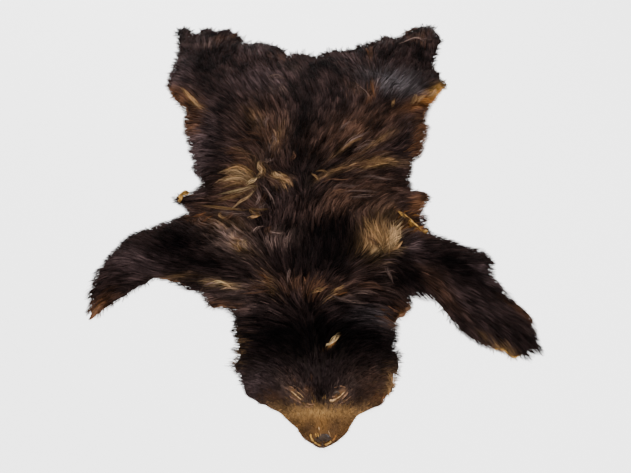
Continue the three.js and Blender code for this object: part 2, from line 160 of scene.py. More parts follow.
# %% Let the edge go in and out
RAGGED = [  # x, y, turn, long, wide, mm outwards
    (-478, 705, 0, 30, 26, 20), (-430, 676, 0, 14, 18, 4), (-366, 702, 0, 20, 20, 15),
    (-235, 640, -25, 30, 24, -22), (-165, 622, -5, 44, 24, 16), (-82, 578, -45, 22, 20, -18),
    (-30, 556, 0, 34, 24, 27), (22, 556, 0, 18, 18, -9), (80, 582, 10, 50, 22, 8),
    (195, 612, 10, 14, 18, 9), (226, 615, 20, 16, 18, -15), (160, 602, 0, 16, 16, -9),
    (268, 650, 20, 20, 20, -14), (332, 672, 24, 38, 26, -27), (436, 712, 0, 34, 26, 27),
    (470, 658, 60, 18, 18, 28), (456, 600, 90, 26, 16, 13), (446, 560, 90, 30, 16, 3),
    (442, 500, 90, 22, 16, 15), (452, 462, 90, 16, 14, -7),
    (466, 404, 80, 24, 22, 20), (412, 312, 55, 40, 28, -27), (388, 252, 85, 30, 16, -9),
    (-472, 425, 90, 20, 14, 6), (-462, 350, -50, 50, 18, -9), (-415, 285, -60, 26, 20, -15),
    (-478, 600, 90, 30, 14, -8), (-484, 655, 90, 20, 14, -9), (-465, 480, 90, 26, 14, -5),
    (-378, 110, 85, 26, 16, -6), (-395, 180, 85, 20, 14, -4), (-350, 40, 85, 28, 16, 6),
    (-322, -35, 80, 24, 16, -6), (-388, -88, 90, 12, 10, -9), (-336, -58, 0, 18, 10, 8),
    (-345, -122, 0, 20, 12, -11), (322, -135, 80, 26, 16, -12), (300, 30, 90, 20, 12, -4),
    (330, -55, 0, 16, 12, 4), (-490, -205, 40, 50, 20, 8), (-552, -300, 60, 50, 16, 5),
    (-566, -335, 75, 20, 14, 6), (-428, -172, 15, 22, 14, -5), (-572, -378, 90, 12, 10, -9),
    (-558, -428, 90, 16, 10, 8), (-465, -380, 25, 50, 16, 8), (-352, -352, -8, 36, 16, -9),
    (-292, -368, -10, 20, 12, 5), (-238, -412, 0, 14, 12, 12), (-188, -434, -50, 14, 12, -8),
    (-175, -458, 90, 16, 10, 5), (375, -215, -20, 26, 14, -5), (462, -256, -20, 22, 12, -5),
    (480, -308, 90, 24, 16, -11), (503, -348, -40, 18, 12, 5), (508, -388, -45, 18, 12, -5),
    (550, -432, -45, 22, 12, 4), (570, -505, -75, 40, 14, -8), (488, -545, 0, 22, 12, 6),
    (372, -478, -40, 40, 16, 9), (288, -390, 0, 34, 18, -12), (330, -412, -35, 22, 14, -7),
    (238, -436, -50, 10, 10, 6), (222, -482, 90, 26, 14, -12), (224, -550, 90, 14, 12, -7),
    (207, -582, 60, 14, 12, 11), (135, -662, 20, 34, 12, 5), (-44, -688, -50, 22, 12, 5),
    (-24, -710, -50, 18, 12, -3), (-72, -665, -30, 24, 12, 5), (-140, -622, 80, 18, 14, 12),
    (-120, -645, -30, 16, 12, 5), (-152, -592, 80, 16, 12, 5), (-178, -560, 60, 18, 14, -15),
    (-166, -527, 90, 16, 12, -9), (90, -715, 50, 20, 10, 3),
]


def slope_of(grid, x, y):
    """Unit vector at points x, y in which a map falls fastest: minus its gradient over its length."""
    rise_y, rise_x = np.gradient(grid, STEP)
    way = -np.stack([at(rise_x, x, y), at(rise_y, x, y)], axis=-1)
    return way / np.maximum(np.linalg.norm(way, axis=-1, keepdims=True), 1e-6)


shift = MM * sum(row[5] * oval(plan_x, plan_y, *row[:5]) for row in RAGGED)
move = shift[..., None] * slope_of(depth, plan_x, plan_y)
from_x, from_y = plan_x - move[..., 0], plan_y - move[..., 1]
depth, top = at(depth, from_x, from_y), at(top, from_x, from_y)
print(len(RAGGED), "places where the edge moves, by", round(float(abs(move).max()), 4), "m at most")

# %% [markdown]
# Fur has a nap: from the nose it runs back to the tail, out over the ribs, and down each leg to the
# paw. Where two directions meet it makes partings, whorls and fans. Painting that by hand would
# take a comb tool; here it is a short table of comb strokes. Each stroke says where it is,
# which way the hair points there (degrees, 0 to the right, 90 to the tail) and how far it reaches.
# At any point the nearest strokes count most.

# %% Comb strokes: x, y in mm, heading in degrees, reach in mm
STROKES = [
    # head, from the nose back
    (33, -705, 90, 30), (-5, -690, 118, 28), (75, -690, 62, 28), (33, -655, 90, 30),
    (-85, -640, 160, 38), (145, -640, 25, 38), (-25, -610, 115, 30), (82, -610, 65, 30),
    (33, -590, 90, 40), (-140, -590, 172, 42), (180, -590, 12, 42), (-160, -540, 185, 40),
    (200, -540, -2, 40), (-70, -560, 150, 45), (130, -560, 28, 45),
    # neck
    (30, -510, 88, 38), (-80, -490, 172, 50), (-160, -460, 182, 45), (140, -490, 10, 50),
    (190, -470, -25, 40), (130, -430, -22, 40), (220, -430, -48, 28), (-150, -400, 178, 50),
    (-215, -395, 200, 35), (-110, -365, 165, 28), (-60, -400, 95, 25), (5, -365, 65, 35),
    (75, -385, 20, 28), (150, -385, -14, 45), (-50, -430, 150, 40), (50, -440, 20, 40),
    # shoulders
    (-235, -350, 182, 40), (-230, -290, 172, 40), (-210, -240, 140, 45), (-240, -180, 128, 40),
    (-150, -280, 158, 40), (-75, -220, 58, 38), (-80, -290, 120, 40), (-10, -270, 92, 45),
    (40, -200, 88, 50), (100, -240, 100, 45), (110, -310, 20, 45), (30, -320, 80, 40),
    (165, -190, 116, 26), (190, -170, 96, 26), (225, -185, 66, 26), (255, -215, 34, 26),
    (262, -250, 6, 26), (250, -285, -28, 26), (290, -200, 35, 30), (290, -320, -40, 40),
    # left foreleg
    (-290, -260, 160, 45), (-330, -190, 140, 40), (-380, -250, 156, 55), (-450, -240, 150, 45),
    (-450, -310, 175, 50), (-510, -310, 190, 45), (-500, -380, 222, 45), (-530, -410, 236, 40),
    (-330, -320, 190, 45),
    # right foreleg
    (340, -230, 8, 40), (340, -300, -20, 45), (410, -280, 4, 40), (460, -275, 12, 32),
    (330, -370, -62, 40), (400, -370, -42, 45), (470, -330, -18, 30), (380, -430, -60, 38),
    (450, -420, -42, 45), (520, -430, -28, 35), (440, -500, -62, 38), (510, -500, -48, 40),
    (545, -530, -40, 30), (480, -550, -80, 28),
    # ribs and back, left of the parting
    (-330, 160, 172, 55), (-330, 60, 182, 55), (-300, -40, 190, 45), (-340, -90, 182, 30),
    (-250, 120, 160, 45), (-240, 210, 140, 50), (-150, 230, 112, 50), (-60, 200, 78, 40),
    (-140, 150, 128, 30), (-110, 110, 60, 28), (-170, 100, 150, 30), (-60, 110, 100, 35),
    (-190, 50, 122, 26), (-215, 30, 146, 26), (-240, 5, 166, 28), (-245, -40, 186, 28),
    (-215, -75, 200, 26), (-160, 20, 78, 22), (-85, -5, 196, 25), (-120, 40, 100, 28),
    (-230, -125, 172, 28), (-160, -90, 150, 26), (-120, -60, 95, 26), (-120, -130, 130, 30),
    (-60, -60, 110, 30), (-60, -130, 80, 35), (-270, -140, 168, 35),
    # ribs and back, right of the parting
    (10, 60, 70, 35), (0, 280, 92, 50), (60, 230, 72, 45), (80, 140, 55, 40),
    (150, 210, 58, 45), (160, 120, 42, 40), (230, 150, 46, 45), (260, 220, 60, 40),
    (320, 170, 50, 40), (320, 80, 22, 40), (70, 20, 22, 30), (140, 40, 14, 32),
    (220, 55, 6, 35), (290, 20, 0, 40), (70, -50, 40, 35), (150, -30, 24, 35),
    (230, -30, 12, 40), (300, -60, 2, 35), (70, -120, 58, 35), (150, -110, 44, 35),
    (220, -110, 40, 32), (310, -100, 12, 30),
    # rump and hind legs
    (-200, 330, 122, 55), (-290, 300, 140, 45), (-370, 250, 165, 45), (-400, 320, 130, 35),
    (-440, 370, 150, 35), (-100, 350, 116, 50), (-180, 430, 130, 45), (-120, 500, 118, 45),
    (-200, 540, 104, 50), (-300, 430, 128, 50), (-330, 540, 88, 50), (-430, 470, 146, 50),
    (-400, 570, 110, 45), (-460, 600, 130, 40), (-490, 690, 98, 30), (-340, 640, 72, 40),
    (-280, 620, 52, 35), (0, 420, 110, 50), (20, 530, 116, 45), (110, 360, 98, 40),
    (120, 470, 126, 45), (170, 560, 108, 30), (200, 470, 112, 35), (230, 560, 68, 30),
    (300, 520, 66, 45), (300, 420, 40, 40), (360, 400, 52, 40), (390, 480, 72, 40),
    (420, 600, 84, 45), (340, 600, 80, 45), (410, 690, 88, 35), (450, 650, 60, 25),
    (430, 380, 10, 30), (360, 310, -10, 30), (270, 330, 60, 35), (280, 270, 20, 30),
    (370, 220, 15, 35), (200, 330, 84, 30),
]


def combed(x, y):
    """Unit vector of the nap: the strokes' headings added up, each weighted by exp(-d^2 / 2 reach^2)."""
    flow = np.zeros(x.shape + (2,))
    for sx, sy, heading, reach in STROKES:
        weight = np.exp(-((x / MM - sx) ** 2 + (y / MM - sy) ** 2) / (2 * reach ** 2))
        weight = weight + 1e-4 * np.exp(-((x / MM - sx) ** 2 + (y / MM - sy) ** 2) / (2 * 150 ** 2))
        way = (math.cos(math.radians(heading)), math.sin(math.radians(heading)))
        flow += weight[..., None] * np.array(way)
    return flow / np.maximum(np.linalg.norm(flow, axis=-1, keepdims=True), 1e-9)


nap = combed(plan_x, plan_y)
print(len(STROKES), "comb strokes")

# %% [markdown]
# Up close, black bear hair isn't one colour. The guard hairs are brown-black, sun-bleached tips go
# golden and nearly beige where the coat opens into a fan or a whorl, the muzzle is tan, and thin
# dried edges of the skin are orange. The cool violet and grey sheen that light raises on the dark
# hair is painted into the colour as well, and so is the shade in a few hollows and creases. A
# table of soft ovals lays those colours over a dark base, in order, like paint with a large brush.

# %% Colours of the coat


def paint(red, green, blue):
    """A colour as seen on screen, 0 to 255, as the linear values that Blender works with."""
    c = np.array((red, green, blue)) / 255
    return np.where(c <= 0.04045, c / 12.92, ((c + 0.055) / 1.055) ** 2.4)


BLACK, BASE = paint(2, 1, 2), paint(50, 37, 35)
# the violet and the grey below are painted sheen: the cool highlight that light raises on dark hair
VIOLET_SHEEN, GREY_SHEEN = paint(96, 78, 78), paint(108, 101, 103)
BROWN, TAUPE = paint(92, 65, 50), paint(116, 94, 86)
RUST, GOLD = paint(118, 78, 50), paint(170, 131, 89)
BEIGE, CREAM = paint(200, 163, 119), paint(220, 187, 137)
TAN, TAN_LIGHT = paint(158, 112, 60), paint(206, 158, 96)
AMBER, STRAW = paint(178, 114, 46), paint(224, 168, 80)

# The violet and grey ovals are painted sheen; a few black ones are painted shade, marked where they stand
PATCHES = [  # x, y, turn, long, wide, colour, strength
    # rump and hind legs
    # the first oval here, black at (-370, 520), is painted shade in the hollow of the left ham
    (-370, 520, 60, 100, 70, BLACK, 0.8), (-450, 460, 84, 110, 34, VIOLET_SHEEN, 0.6),
    (-490, 690, 90, 32, 18, BLACK, 0.9), (-325, 655, 10, 46, 20, BROWN, 0.5),
    (-380, 636, 0, 44, 20, VIOLET_SHEEN, 0.5), (-368, 617, 0, 26, 16, TAUPE, 0.6),
    (-280, 470, 90, 60, 40, BASE, 0.5), (-165, 425, 20, 75, 40, VIOLET_SHEEN, 0.75),
    (-392, 322, -55, 50, 20, RUST, 0.9), (-372, 306, -55, 32, 8, GOLD, 0.8),
    (-375, 225, 90, 60, 22, RUST, 0.7),
    (-450, 360, 110, 40, 16, RUST, 0.8), (-105, 560, 20, 50, 16, BROWN, 0.4),
    (-185, 577, 0, 54, 20, VIOLET_SHEEN, 0.6), (-69, 495, 0, 26, 16, TAUPE, 0.5),
    (-271, 397, 20, 36, 12, VIOLET_SHEEN, 0.5),
    (-99, 372, 0, 32, 14, TAUPE, 0.45), (124, 548, 0, 60, 20, VIOLET_SHEEN, 0.4),
    # the first oval here, a thin black band at (380, 598), is painted shade in the crease under the rolled
    # right hind paw
    (380, 598, 0, 60, 12, BLACK, 0.7), (45, 485, 0, 60, 30, BLACK, 0.85),
    (178, 562, 90, 32, 14, BLACK, 0.85), (212, 550, 86, 50, 9, BROWN, 0.7),
    (400, 560, 80, 90, 40, BLACK, 0.6), (395, 672, 20, 34, 14, RUST, 0.35),
    (380, 626, 0, 50, 8, BROWN, 0.8),
    (296, 404, -22, 98, 50, GREY_SHEEN, 0.85), (250, 500, 0, 60, 40, BASE, 0.5),
    (155, 360, -48, 50, 12, BROWN, 0.5), (370, 322, 34, 105, 20, RUST, 0.7),
    (392, 332, 40, 50, 12, AMBER, 0.7),
    (430, 380, 60, 34, 16, STRAW, 0.7), (205, 350, 72, 45, 12, RUST, 0.6),
    # the black oval at (262, 320) is painted shade in the crease at the right hip
    (385, 235, 82, 50, 22, RUST, 0.75), (262, 320, 80, 50, 24, BLACK, 0.75),
    # back
    (-345, 90, 85, 150, 40, VIOLET_SHEEN, 0.75), (-140, 190, 100, 110, 75, BROWN, 0.6),
    (-170, 230, 110, 40, 24, GOLD, 0.22), (-100, 150, 70, 50, 16, GOLD, 0.28),
    (-15, 225, 90, 160, 31, BLACK, 0.93), (8, 88, 0, 54, 42, BLACK, 0.95),
    (150, 190, 30, 125, 80, BROWN, 0.65), (120, 120, 45, 60, 10, GOLD, 0.3),
    (200, 120, 40, 70, 10, GOLD, 0.4), (85, 20, 20, 60, 10, GOLD, 0.5),
    (205, 46, 8, 62, 15, GOLD, 0.85), (170, 0, 10, 110, 16, BLACK, 0.6),
    (-205, -20, 10, 70, 52, BROWN, 0.7), (-208, -12, 12, 32, 20, GOLD, 0.7),
    (-180, 60, 140, 46, 14, GOLD, 0.25), (-80, -12, 0, 24, 15, GOLD, 0.85),
    (-140, -30, 90, 40, 14, BASE, 0.8),
    (140, -80, 20, 140, 60, BROWN, 0.6), (345, 140, 85, 110, 14, RUST, 0.7),
    (-290, 30, 90, 110, 26, BLACK, 0.4), (-120, 60, 0, 40, 20, BLACK, 0.3),
    (-215, -98, -15, 56, 22, BROWN, 0.6), (-250, -122, -8, 55, 7, TAUPE, 0.6),
    (-345, -92, 0, 30, 16, BLACK, 0.9), (-300, -110, -20, 40, 20, BROWN, 0.6),
    (318, -98, 80, 34, 20, RUST, 0.8), (0, -60, 100, 90, 26, BASE, 0.4),
    # shoulders
    (-235, -178, -20, 50, 26, GOLD, 0.45), (-310, -150, 0, 30, 16, RUST, 0.6),
    (-220, -225, -35, 80, 42, TAUPE, 0.95), (-182, -250, -40, 28, 18, GOLD, 0.5),
    (-75, -215, 10, 66, 24, TAUPE, 0.7), (-130, -170, -10, 30, 18, BLACK, 0.6),
    (30, -190, 0, 95, 36, BLACK, 0.95), (90, -235, 0, 100, 50, BLACK, 0.95),
    (202, -214, 70, 60, 42, GOLD, 0.95), (218, -226, 60, 38, 24, CREAM, 0.85),
    (278, -245, 60, 55, 30, VIOLET_SHEEN, 0.8), (288, -162, -42, 42, 8, AMBER, 0.8),
    (200, -280, -20, 26, 12, BLACK, 0.8), (262, -345, 60, 62, 42, BLACK, 0.95),
    (-228, -356, -6, 40, 8, BEIGE, 0.75), (10, -290, 0, 165, 36, BLACK, 0.8),
    # neck
    (-185, -395, 0, 75, 50, TAUPE, 0.25), (-105, -354, 100, 28, 14, GOLD, 0.4),
    (-62, -372, 90, 28, 11, BLACK, 0.85), (-8, -362, -6, 62, 19, BROWN, 0.95),
    (22, -370, -14, 26, 9, RUST, 0.6),
    (78, -388, 25, 20, 9, GOLD, 0.6), (120, -404, -20, 50, 6, TAUPE, 0.5),
    (150, -370, -15, 70, 24, BROWN, 0.2), (30, -490, 0, 180, 66, BLACK, 0.94),
    (150, -425, -10, 60, 20, BLACK, 0.5),
    (165, -455, -20, 56, 28, GREY_SHEEN, 0.2), (226, -440, 55, 34, 14, RUST, 0.7),
    (-90, -500, 0, 100, 60, BLACK, 0.85), (130, -505, 0, 80, 46, BLACK, 0.8),
    (-150, -430, 0, 40, 16, VIOLET_SHEEN, 0.3), (-163, -540, 90, 40, 6, GOLD, 0.5),
    (210, -345, 100, 34, 5, TAUPE, 0.7),
    # head
    (33, -580, 0, 170, 46, BLACK, 0.8), (-112, -624, -25, 62, 24, BLACK, 0.85),
    (166, -622, 25, 54, 26, BLACK, 0.85), (120, -592, 0, 44, 22, BROWN, 0.35),
    (-38, -598, 0, 26, 16, BROWN, 0.35),
    (-90, -575, 20, 30, 20, VIOLET_SHEEN, 0.25), (-118, -612, -20, 50, 26, VIOLET_SHEEN, 0.75),
    (166, -608, 20, 46, 26, BROWN, 0.75), (33, -592, 0, 130, 34, VIOLET_SHEEN, 0.3),
    (-78, -640, -20, 28, 14, RUST, 0.35), (-52, -669, -28, 38, 9, GOLD, 0.5),
    (120, -669, 30, 36, 9, GOLD, 0.5), (160, -643, 36, 26, 8, RUST, 0.6),
    (33, -696, 0, 82, 32, TAN, 0.98),
    (28, -675, 0, 74, 11, TAN_LIGHT, 0.9), (6, -703, 30, 22, 11, BASE, 0.6),
    (62, -702, 60, 22, 13, BASE, 0.6), (33, -637, 90, 24, 22, BLACK, 0.9),
    (-2, -627, 0, 14, 8, RUST, 0.6),
    (-30, -632, -35, 34, 15, TAUPE, 0.8), (82, -632, 35, 34, 15, TAUPE, 0.8),
    (188, -618, 70, 42, 7, GOLD, 0.95), (36, -732, 0, 30, 10, BROWN, 0.5),
    # forelegs
    (-350, -238, 0, 84, 78, BLACK, 0.96), (-262, -306, 0, 80, 28, BLACK, 0.75),
    (-465, -290, -20, 75, 42, VIOLET_SHEEN, 0.6),
    (-345, -334, 4, 45, 6, GOLD, 0.3), (-525, -415, 60, 36, 16, RUST, 0.9),
    (-215, -414, -12, 36, 10, RUST, 0.6), (400, -300, -30, 110, 50, BLACK, 0.8),
    (415, -335, -40, 90, 26, BLACK, 0.7), (430, -430, -46, 120, 44, VIOLET_SHEEN, 0.3),
    (332, -342, -40, 38, 22, BROWN, 0.4), (350, -395, -55, 60, 13, RUST, 0.25),
    (470, -330, -60, 55, 20, VIOLET_SHEEN, 0.6), (482, -386, -42, 62, 9, BLACK, 0.8),
    (535, -435, -50, 40, 8, RUST, 0.45), (476, -541, -35, 36, 10, GOLD, 0.9),
    (500, -500, -50, 50, 30, BLACK, 0.5),
]


def painted(x, y):
    """Colour of the coat: from the base, each oval in turn draws it to its own by its strength."""
    colour = np.zeros(x.shape + (3,)) + BASE
    for cx, cy, turn, long, wide, own, strength in PATCHES:
        share = (strength * oval(x, y, cx, cy, turn, long, wide))[..., None]
        colour = colour + share * (own - colour)
    return colour


colours = painted(plan_x, plan_y)
print(len(PATCHES), "patches of colour")

# %% [markdown]
# How long the hair is changes as well: a few millimetres on the muzzle, short on the forehead and
# the legs, 60 mm and more on the back. In some places there is none, such as the eyelids, a healed
# tear in the neck and the dried edges that have curled up. Short tables of ovals say so. Others say
# where the locks part and twist, where longer hair hangs over the edge, and where the coat is calm:
# there it lies close, and its locks differ little in brightness.

# %% Length of the hair and bare places
LENGTHS = [  # x, y, turn, long, wide, length in mm
    (-430, -290, 20, 150, 90, 40), (430, -400, -45, 190, 90, 40), (400, 580, 80, 130, 80, 34),
    (-400, 600, 80, 110, 90, 40), (205, -215, 70, 80, 60, 76), (-200, -20, 0, 70, 60, 70),
]
BARE = [  # x, y, turn, long, wide
    (60, -513, 38, 18, 4), (-25, -636, -42, 20, 6.5), (74, -638, 40, 19, 7.5), (36, -731, 0, 26, 12),
    (452, 372, 66, 30, 4), (292, -168, -42, 40, 4), (-532, -428, 60, 24, 8),
    (236, -446, 55, 22, 6), (-366, -66, 20, 12, 6),
]


def hair_length(x, y):
    """Length in metres: 62 mm on the trunk, less towards the nose, then the table's ovals."""
    length = 6 + 14 * smooth(-690, -610, y / MM) + 42 * smooth(-610, -440, y / MM)
    for cx, cy, turn, long, wide, own in LENGTHS:
        length = length + oval(x, y, cx, cy, turn, long, wide) * (own - length)
    return length * MM


lengths = hair_length(plan_x, plan_y)
TOUSLED = [  # x, y, turn, long, wide: locks part and twist here, and lie smooth elsewhere
    (0, 60, 0, 240, 150), (-140, -60, 0, 150, 110), (60, -200, 0, 260, 80), (0, -360, 0, 190, 40),
    (-200, -200, 0, 100, 90), (200, 330, 60, 80, 50), (-300, 620, 0, 90, 50), (-180, 520, 0, 160, 70),
    (200, 500, 0, 140, 70), (30, -450, 0, 180, 60), (-215, -122, 0, 90, 36), (-190, -150, 0, 70, 40),
]
FRINGE = [  # x, y, turn, long, wide: longer hair hangs over the edge
    (-390, -190, 18, 110, 26), (-540, -350, 60, 60, 24), (465, -270, 0, 40, 24), (-330, 672, 0, 80, 26),
    (-360, 90, 88, 130, 22), (-160, -560, 90, 26, 18), (-150, -615, 60, 24, 16), (545, -540, 0, 40, 26),
    (200, -600, 60, 30, 16), (-460, 450, 85, 90, 26), (250, 590, 10, 90, 24), (240, -440, 60, 30, 18),
    (340, 120, 88, 120, 18), (20, 548, 0, 60, 14),
]
CALM = [  # x, y, turn, long, wide, how calm
    (300, 430, -20, 90, 50, 0.8), (-165, 425, 20, 90, 50, 0.5), (-350, 550, 0, 140, 120, 0.35),
    (430, -400, -45, 170, 70, 0.7), (-430, -300, 30, 150, 80, 0.6),
]
bare = np.clip(sum(1.3 * oval(plan_x, plan_y, *row) for row in BARE), 0, 1)
tousle = np.clip(0.2 + sum(oval(plan_x, plan_y, *row) for row in TOUSLED), 0, 1.4)
fringe = np.clip(sum(oval(plan_x, plan_y, *row) for row in FRINGE), 0, 1)
face = 1 - smooth(-650, -560, plan_y / MM)
calm = 1 - smooth(-570, -480, plan_y / MM)
for row in CALM:
    calm = calm + row[5] * oval(plan_x, plan_y, *row[:5])
calm = np.clip(calm, 0, 1)
print("hair from", round(float(lengths.min()), 4), "to", round(float(lengths.max()), 4), "m")

# %% [markdown]
# The skin is the leather under the fur: 2 to 3 mm thick, flat on the floor under the body, and
# with the form of the head where the hair is short. It could be a plane with a picture of its
# outline, but its edge shows where the fur is thin, so it is a real sheet. The squares of a grid
# that lie far enough inside the outline are kept, and their outermost points move onto the edge
# line. A second layer under them and a wall round the edge close it.

# %% Height of the leather
EDGE = 7 * MM  # how far inside the outline the leather ends
SKIN_THICK = 2.4 * MM
margin = depth - EDGE * (1 - 0.7 * face)


def ripple(x, y, size, seed):
    """Smooth noise from 24 sine waves of random direction and phase, mean 0, spread about 1."""
    pick = np.random.default_rng(seed)
    total = 0
    for turn, phase, scale in zip(pick.uniform(0, 2 * np.pi, 24), pick.uniform(0, 2 * np.pi, 24),
                                  pick.uniform(0.6, 1.7, 24)):
        total = total + np.sin((x * np.cos(turn) + y * np.sin(turn)) * 2 * np.pi / size * scale + phase)
    return total / math.sqrt(12)


# low waves along the edge, a little of the body's humps, and the full form of the head
near_edge = 1 - smooth(0.01, 0.04, depth)
leather = 3.4 * MM + 1.2 * MM * ripple(plan_x, plan_y, 0.11, 3) * near_edge
leather = leather + 0.16 * np.maximum(top - 0.006, 0) * (1 - near_edge)
leather = leather * (1 - face) + face * np.maximum(top - 3.2 * MM, 2.6 * MM)
leather = np.minimum(leather, np.maximum(top - 2 * MM, SKIN_THICK))
print("leather from", round(float(leather[margin > 0].min()), 4), "to",
      round(float(leather[margin > 0].max()), 4), "m")

# %% Turn arrays into a mesh object


def as_object(name, points, faces, uv=None, uv_name="UVMap", colour=None, finish=None):
    """A mesh from arrays: points (n,3), faces (m,3) or (m,4), a uv per face corner, a colour per point.

    The piece rides on the rug's one body and takes the finish that it is given.
    """
    mesh = bpy.data.meshes.new(name)
    sides = faces.shape[1]
    mesh.vertices.add(len(points))
    mesh.vertices.foreach_set("co", np.ascontiguousarray(points, dtype=np.float32).ravel())
    mesh.loops.add(faces.size)
    mesh.loops.foreach_set("vertex_index", faces.ravel().astype(np.int32))
    mesh.polygons.add(len(faces))
    mesh.polygons.foreach_set("loop_start", np.arange(0, faces.size, sides, dtype=np.int32))
    mesh.update(calc_edges=True)
    mesh.polygons.foreach_set("use_smooth", np.ones(len(faces), dtype=bool))
    if uv is not None:
        layer = mesh.uv_layers.new(name=uv_name)
        layer.data.foreach_set("uv", np.ascontiguousarray(uv, dtype=np.float32).ravel())
    if colour is not None:
        tint = mesh.attributes.new("tint", "FLOAT_COLOR", "POINT")
        rgba = np.concatenate([colour, np.ones((len(colour), 1))], axis=1)
        tint.data.foreach_set("color", rgba.astype(np.float32).ravel())
    piece = bpy.data.objects.new(name, mesh)
    bpy.context.scene.collection.objects.link(piece)
    if finish:
        mesh.materials.append(finish)
    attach(piece, "root")
    return piece


print("mesh helper is ready")

# %% The leather sheet
CELL = 10 * MM


def sheet_of_skin():
    """Top at the leather's height, underside SKIN_THICK lower, a wall where an edge has only one face.

    The rim's points move across by three Newton steps: minus margin / its slope, along its gradient.
    """
    xs = np.arange(cad_box[0].x - CELL, cad_box[1].x + CELL, CELL)
    ys = np.arange(cad_box[0].y - CELL, cad_box[1].y + CELL, CELL)
    x, y = np.meshgrid(xs, ys)
    inside = at(margin, x, y) > -0.35 * CELL
    keep = inside[:-1, :-1] & inside[1:, :-1] & inside[:-1, 1:] & inside[1:, 1:]
    index = np.arange(x.size).reshape(x.shape)
    quads = np.stack([index[:-1, :-1], index[:-1, 1:], index[1:, 1:], index[1:, :-1]], axis=-1)[keep]
    edges = np.concatenate([quads[:, [i, (i + 1) % 4]] for i in range(4)])
    key = np.sort(edges, axis=1) @ np.array([x.size, 1])
    _, first, count = np.unique(key, return_index=True, return_counts=True)
    rim = edges[first[count == 1]]
    used, quads = np.unique(quads, return_inverse=True)
    quads = quads.reshape(-1, 4)
    rim = np.searchsorted(used, rim)
    x, y = x.ravel()[used], y.ravel()[used]
    gy, gx = np.gradient(margin, STEP)
    on_rim = np.unique(rim)
    for _ in range(3):
        off = -at(margin, x[on_rim], y[on_rim])
        slope = np.stack([at(gx, x[on_rim], y[on_rim]), at(gy, x[on_rim], y[on_rim])])
        slope /= np.maximum(np.linalg.norm(slope, axis=0), 0.3)
        x[on_rim] += 0.8 * off * slope[0]
        y[on_rim] += 0.8 * off * slope[1]
    z = at(leather, x, y)
    upper = np.stack([x, y, z], axis=1)
    lower = np.stack([x, y, np.maximum(z - SKIN_THICK, 0.3 * MM)], axis=1)
    n = len(used)
    walls = np.stack([rim[:, 1], rim[:, 0], rim[:, 0] + n, rim[:, 1] + n], axis=1)
    return np.concatenate([upper, lower]), np.concatenate([quads, quads[:, ::-1] + n, walls])


skin_points, skin_faces = sheet_of_skin()
print("skin:", len(skin_faces), "faces")

# %% [markdown]
# A material is a small graph of nodes. Written as nodes, even roughness = 0.65 + 0.3 * blotch takes
# a dozen lines, so a socket is wrapped in a class whose + and * add the Math node. Every other node
# comes from one method that takes its type, its settings and what goes into its sockets.

# %% Shader helper


class Wire:
    """An output socket that can be used in arithmetic; each operation adds one Math node."""

    def __init__(self, finish, socket):
        self.finish, self.socket = finish, socket

    def math(self, operation, *values):
        """A Math node on the values, each of them a Wire or a number."""
        return self.finish.node("ShaderNodeMath", {"operation": operation}, dict(enumerate(values)))

    def __add__(self, other): return self.math("ADD", self, other)
    def __radd__(self, other): return self.math("ADD", other, self)
    def __mul__(self, other): return self.math("MULTIPLY", self, other)
    def __rmul__(self, other): return self.math("MULTIPLY", other, self)


class Finish:
    """One material: node() adds any node, and done() ends it in a Principled shader."""

    def __init__(self, name):
        self.material = bpy.data.materials.new(name)
        self.material.use_nodes = True
        self.tree = self.material.node_tree
        self.tree.nodes.clear()

    def node(self, kind, settings=None, inputs=None, output=0):
        """Adds a node: its settings first, then a link or a value into each named socket."""
        made = self.tree.nodes.new(kind)
        for key, value in (settings or {}).items():
            setattr(made, key, value)
        for key, value in (inputs or {}).items():
            if isinstance(value, Wire):
                self.tree.links.new(value.socket, made.inputs[key])
            else:
                made.inputs[key].default_value = value
        return Wire(self, made.outputs[output])

    def mix(self, share, first, second):
        """Colour first + share * (second - first)."""
        first, second = (v if isinstance(v, Wire) else (*v, 1) for v in (first, second))
        return self.node("ShaderNodeMix", {"data_type": "RGBA"}, {0: share, 6: first, 7: second}, output=2)

    def noise(self, scale, detail):
        """Noise in space, scale cells to the metre, fixed to the object."""
        place = self.node("ShaderNodeTexCoord", output="Object")
        return self.node("ShaderNodeTexNoise", {}, {"Vector": place, "Scale": scale, "Detail": detail})

    def bump(self, height, strength, distance):
        """A normal tilted as if the surface rose by height * distance in metres."""
        return self.node("ShaderNodeBump", {}, {"Height": height, "Strength": strength,
                                                "Distance": distance})

    def done(self, **inputs):
        """Closes the material with a Principled shader; the inputs are named after its sockets."""
        names = {key: key.replace("_", " ") for key in inputs}
        shader = self.node("ShaderNodeBsdfPrincipled", {}, {names[k]: v for k, v in inputs.items()})
        end = self.tree.nodes.new("ShaderNodeOutputMaterial")
        self.tree.links.new(shader.socket, end.inputs["Surface"])
        return self.material


print("shader helper is ready")

# %% [markdown]
# Tanned leather is tan with darker blotches, and it dries to orange where it is thin. Fine grain
# comes from two sizes of noise that feed a Bump node. One recipe gives both finishes: the tanned
# hide is matte, and the dried edges, lids and nose are smoother and shine a little. A tint on the
# points says the rest: the hide is dark under the fur, where little light gets in, dried and bright
# where it is bare, and as pale as suede underneath.

# %% Finish of the leather


def leather_look(name, blotches, rough, gloss):
    """Tan leather: its tint darkened by blotches, then by grain; roughness = rough + 0.3 * blotch."""
    look = Finish(name)
    tint = look.node("ShaderNodeAttribute", {"attribute_name": "tint"}, output="Color")
    blotch, grain = look.noise(38.0, 3.0), look.noise(420.0, 2.0)
    shade = look.mix(blotch * 0.7, tint, blotches)
    return look.done(Base_Color=look.mix(0.25 * grain, shade, (0.02, 0.012, 0.008)),
                     Roughness=rough + 0.3 * blotch, Specular_IOR_Level=gloss,
                     Normal=look.bump(grain + blotch, 0.5, 0.0012))


leather_material = leather_look("tanned_leather", (0.03, 0.021, 0.018), 0.65, 0.04)
dried_material = leather_look("dried_leather", (0.11, 0.055, 0.025), 0.45, 0.2)
print("finishes:", leather_material.name, "and", dried_material.name)

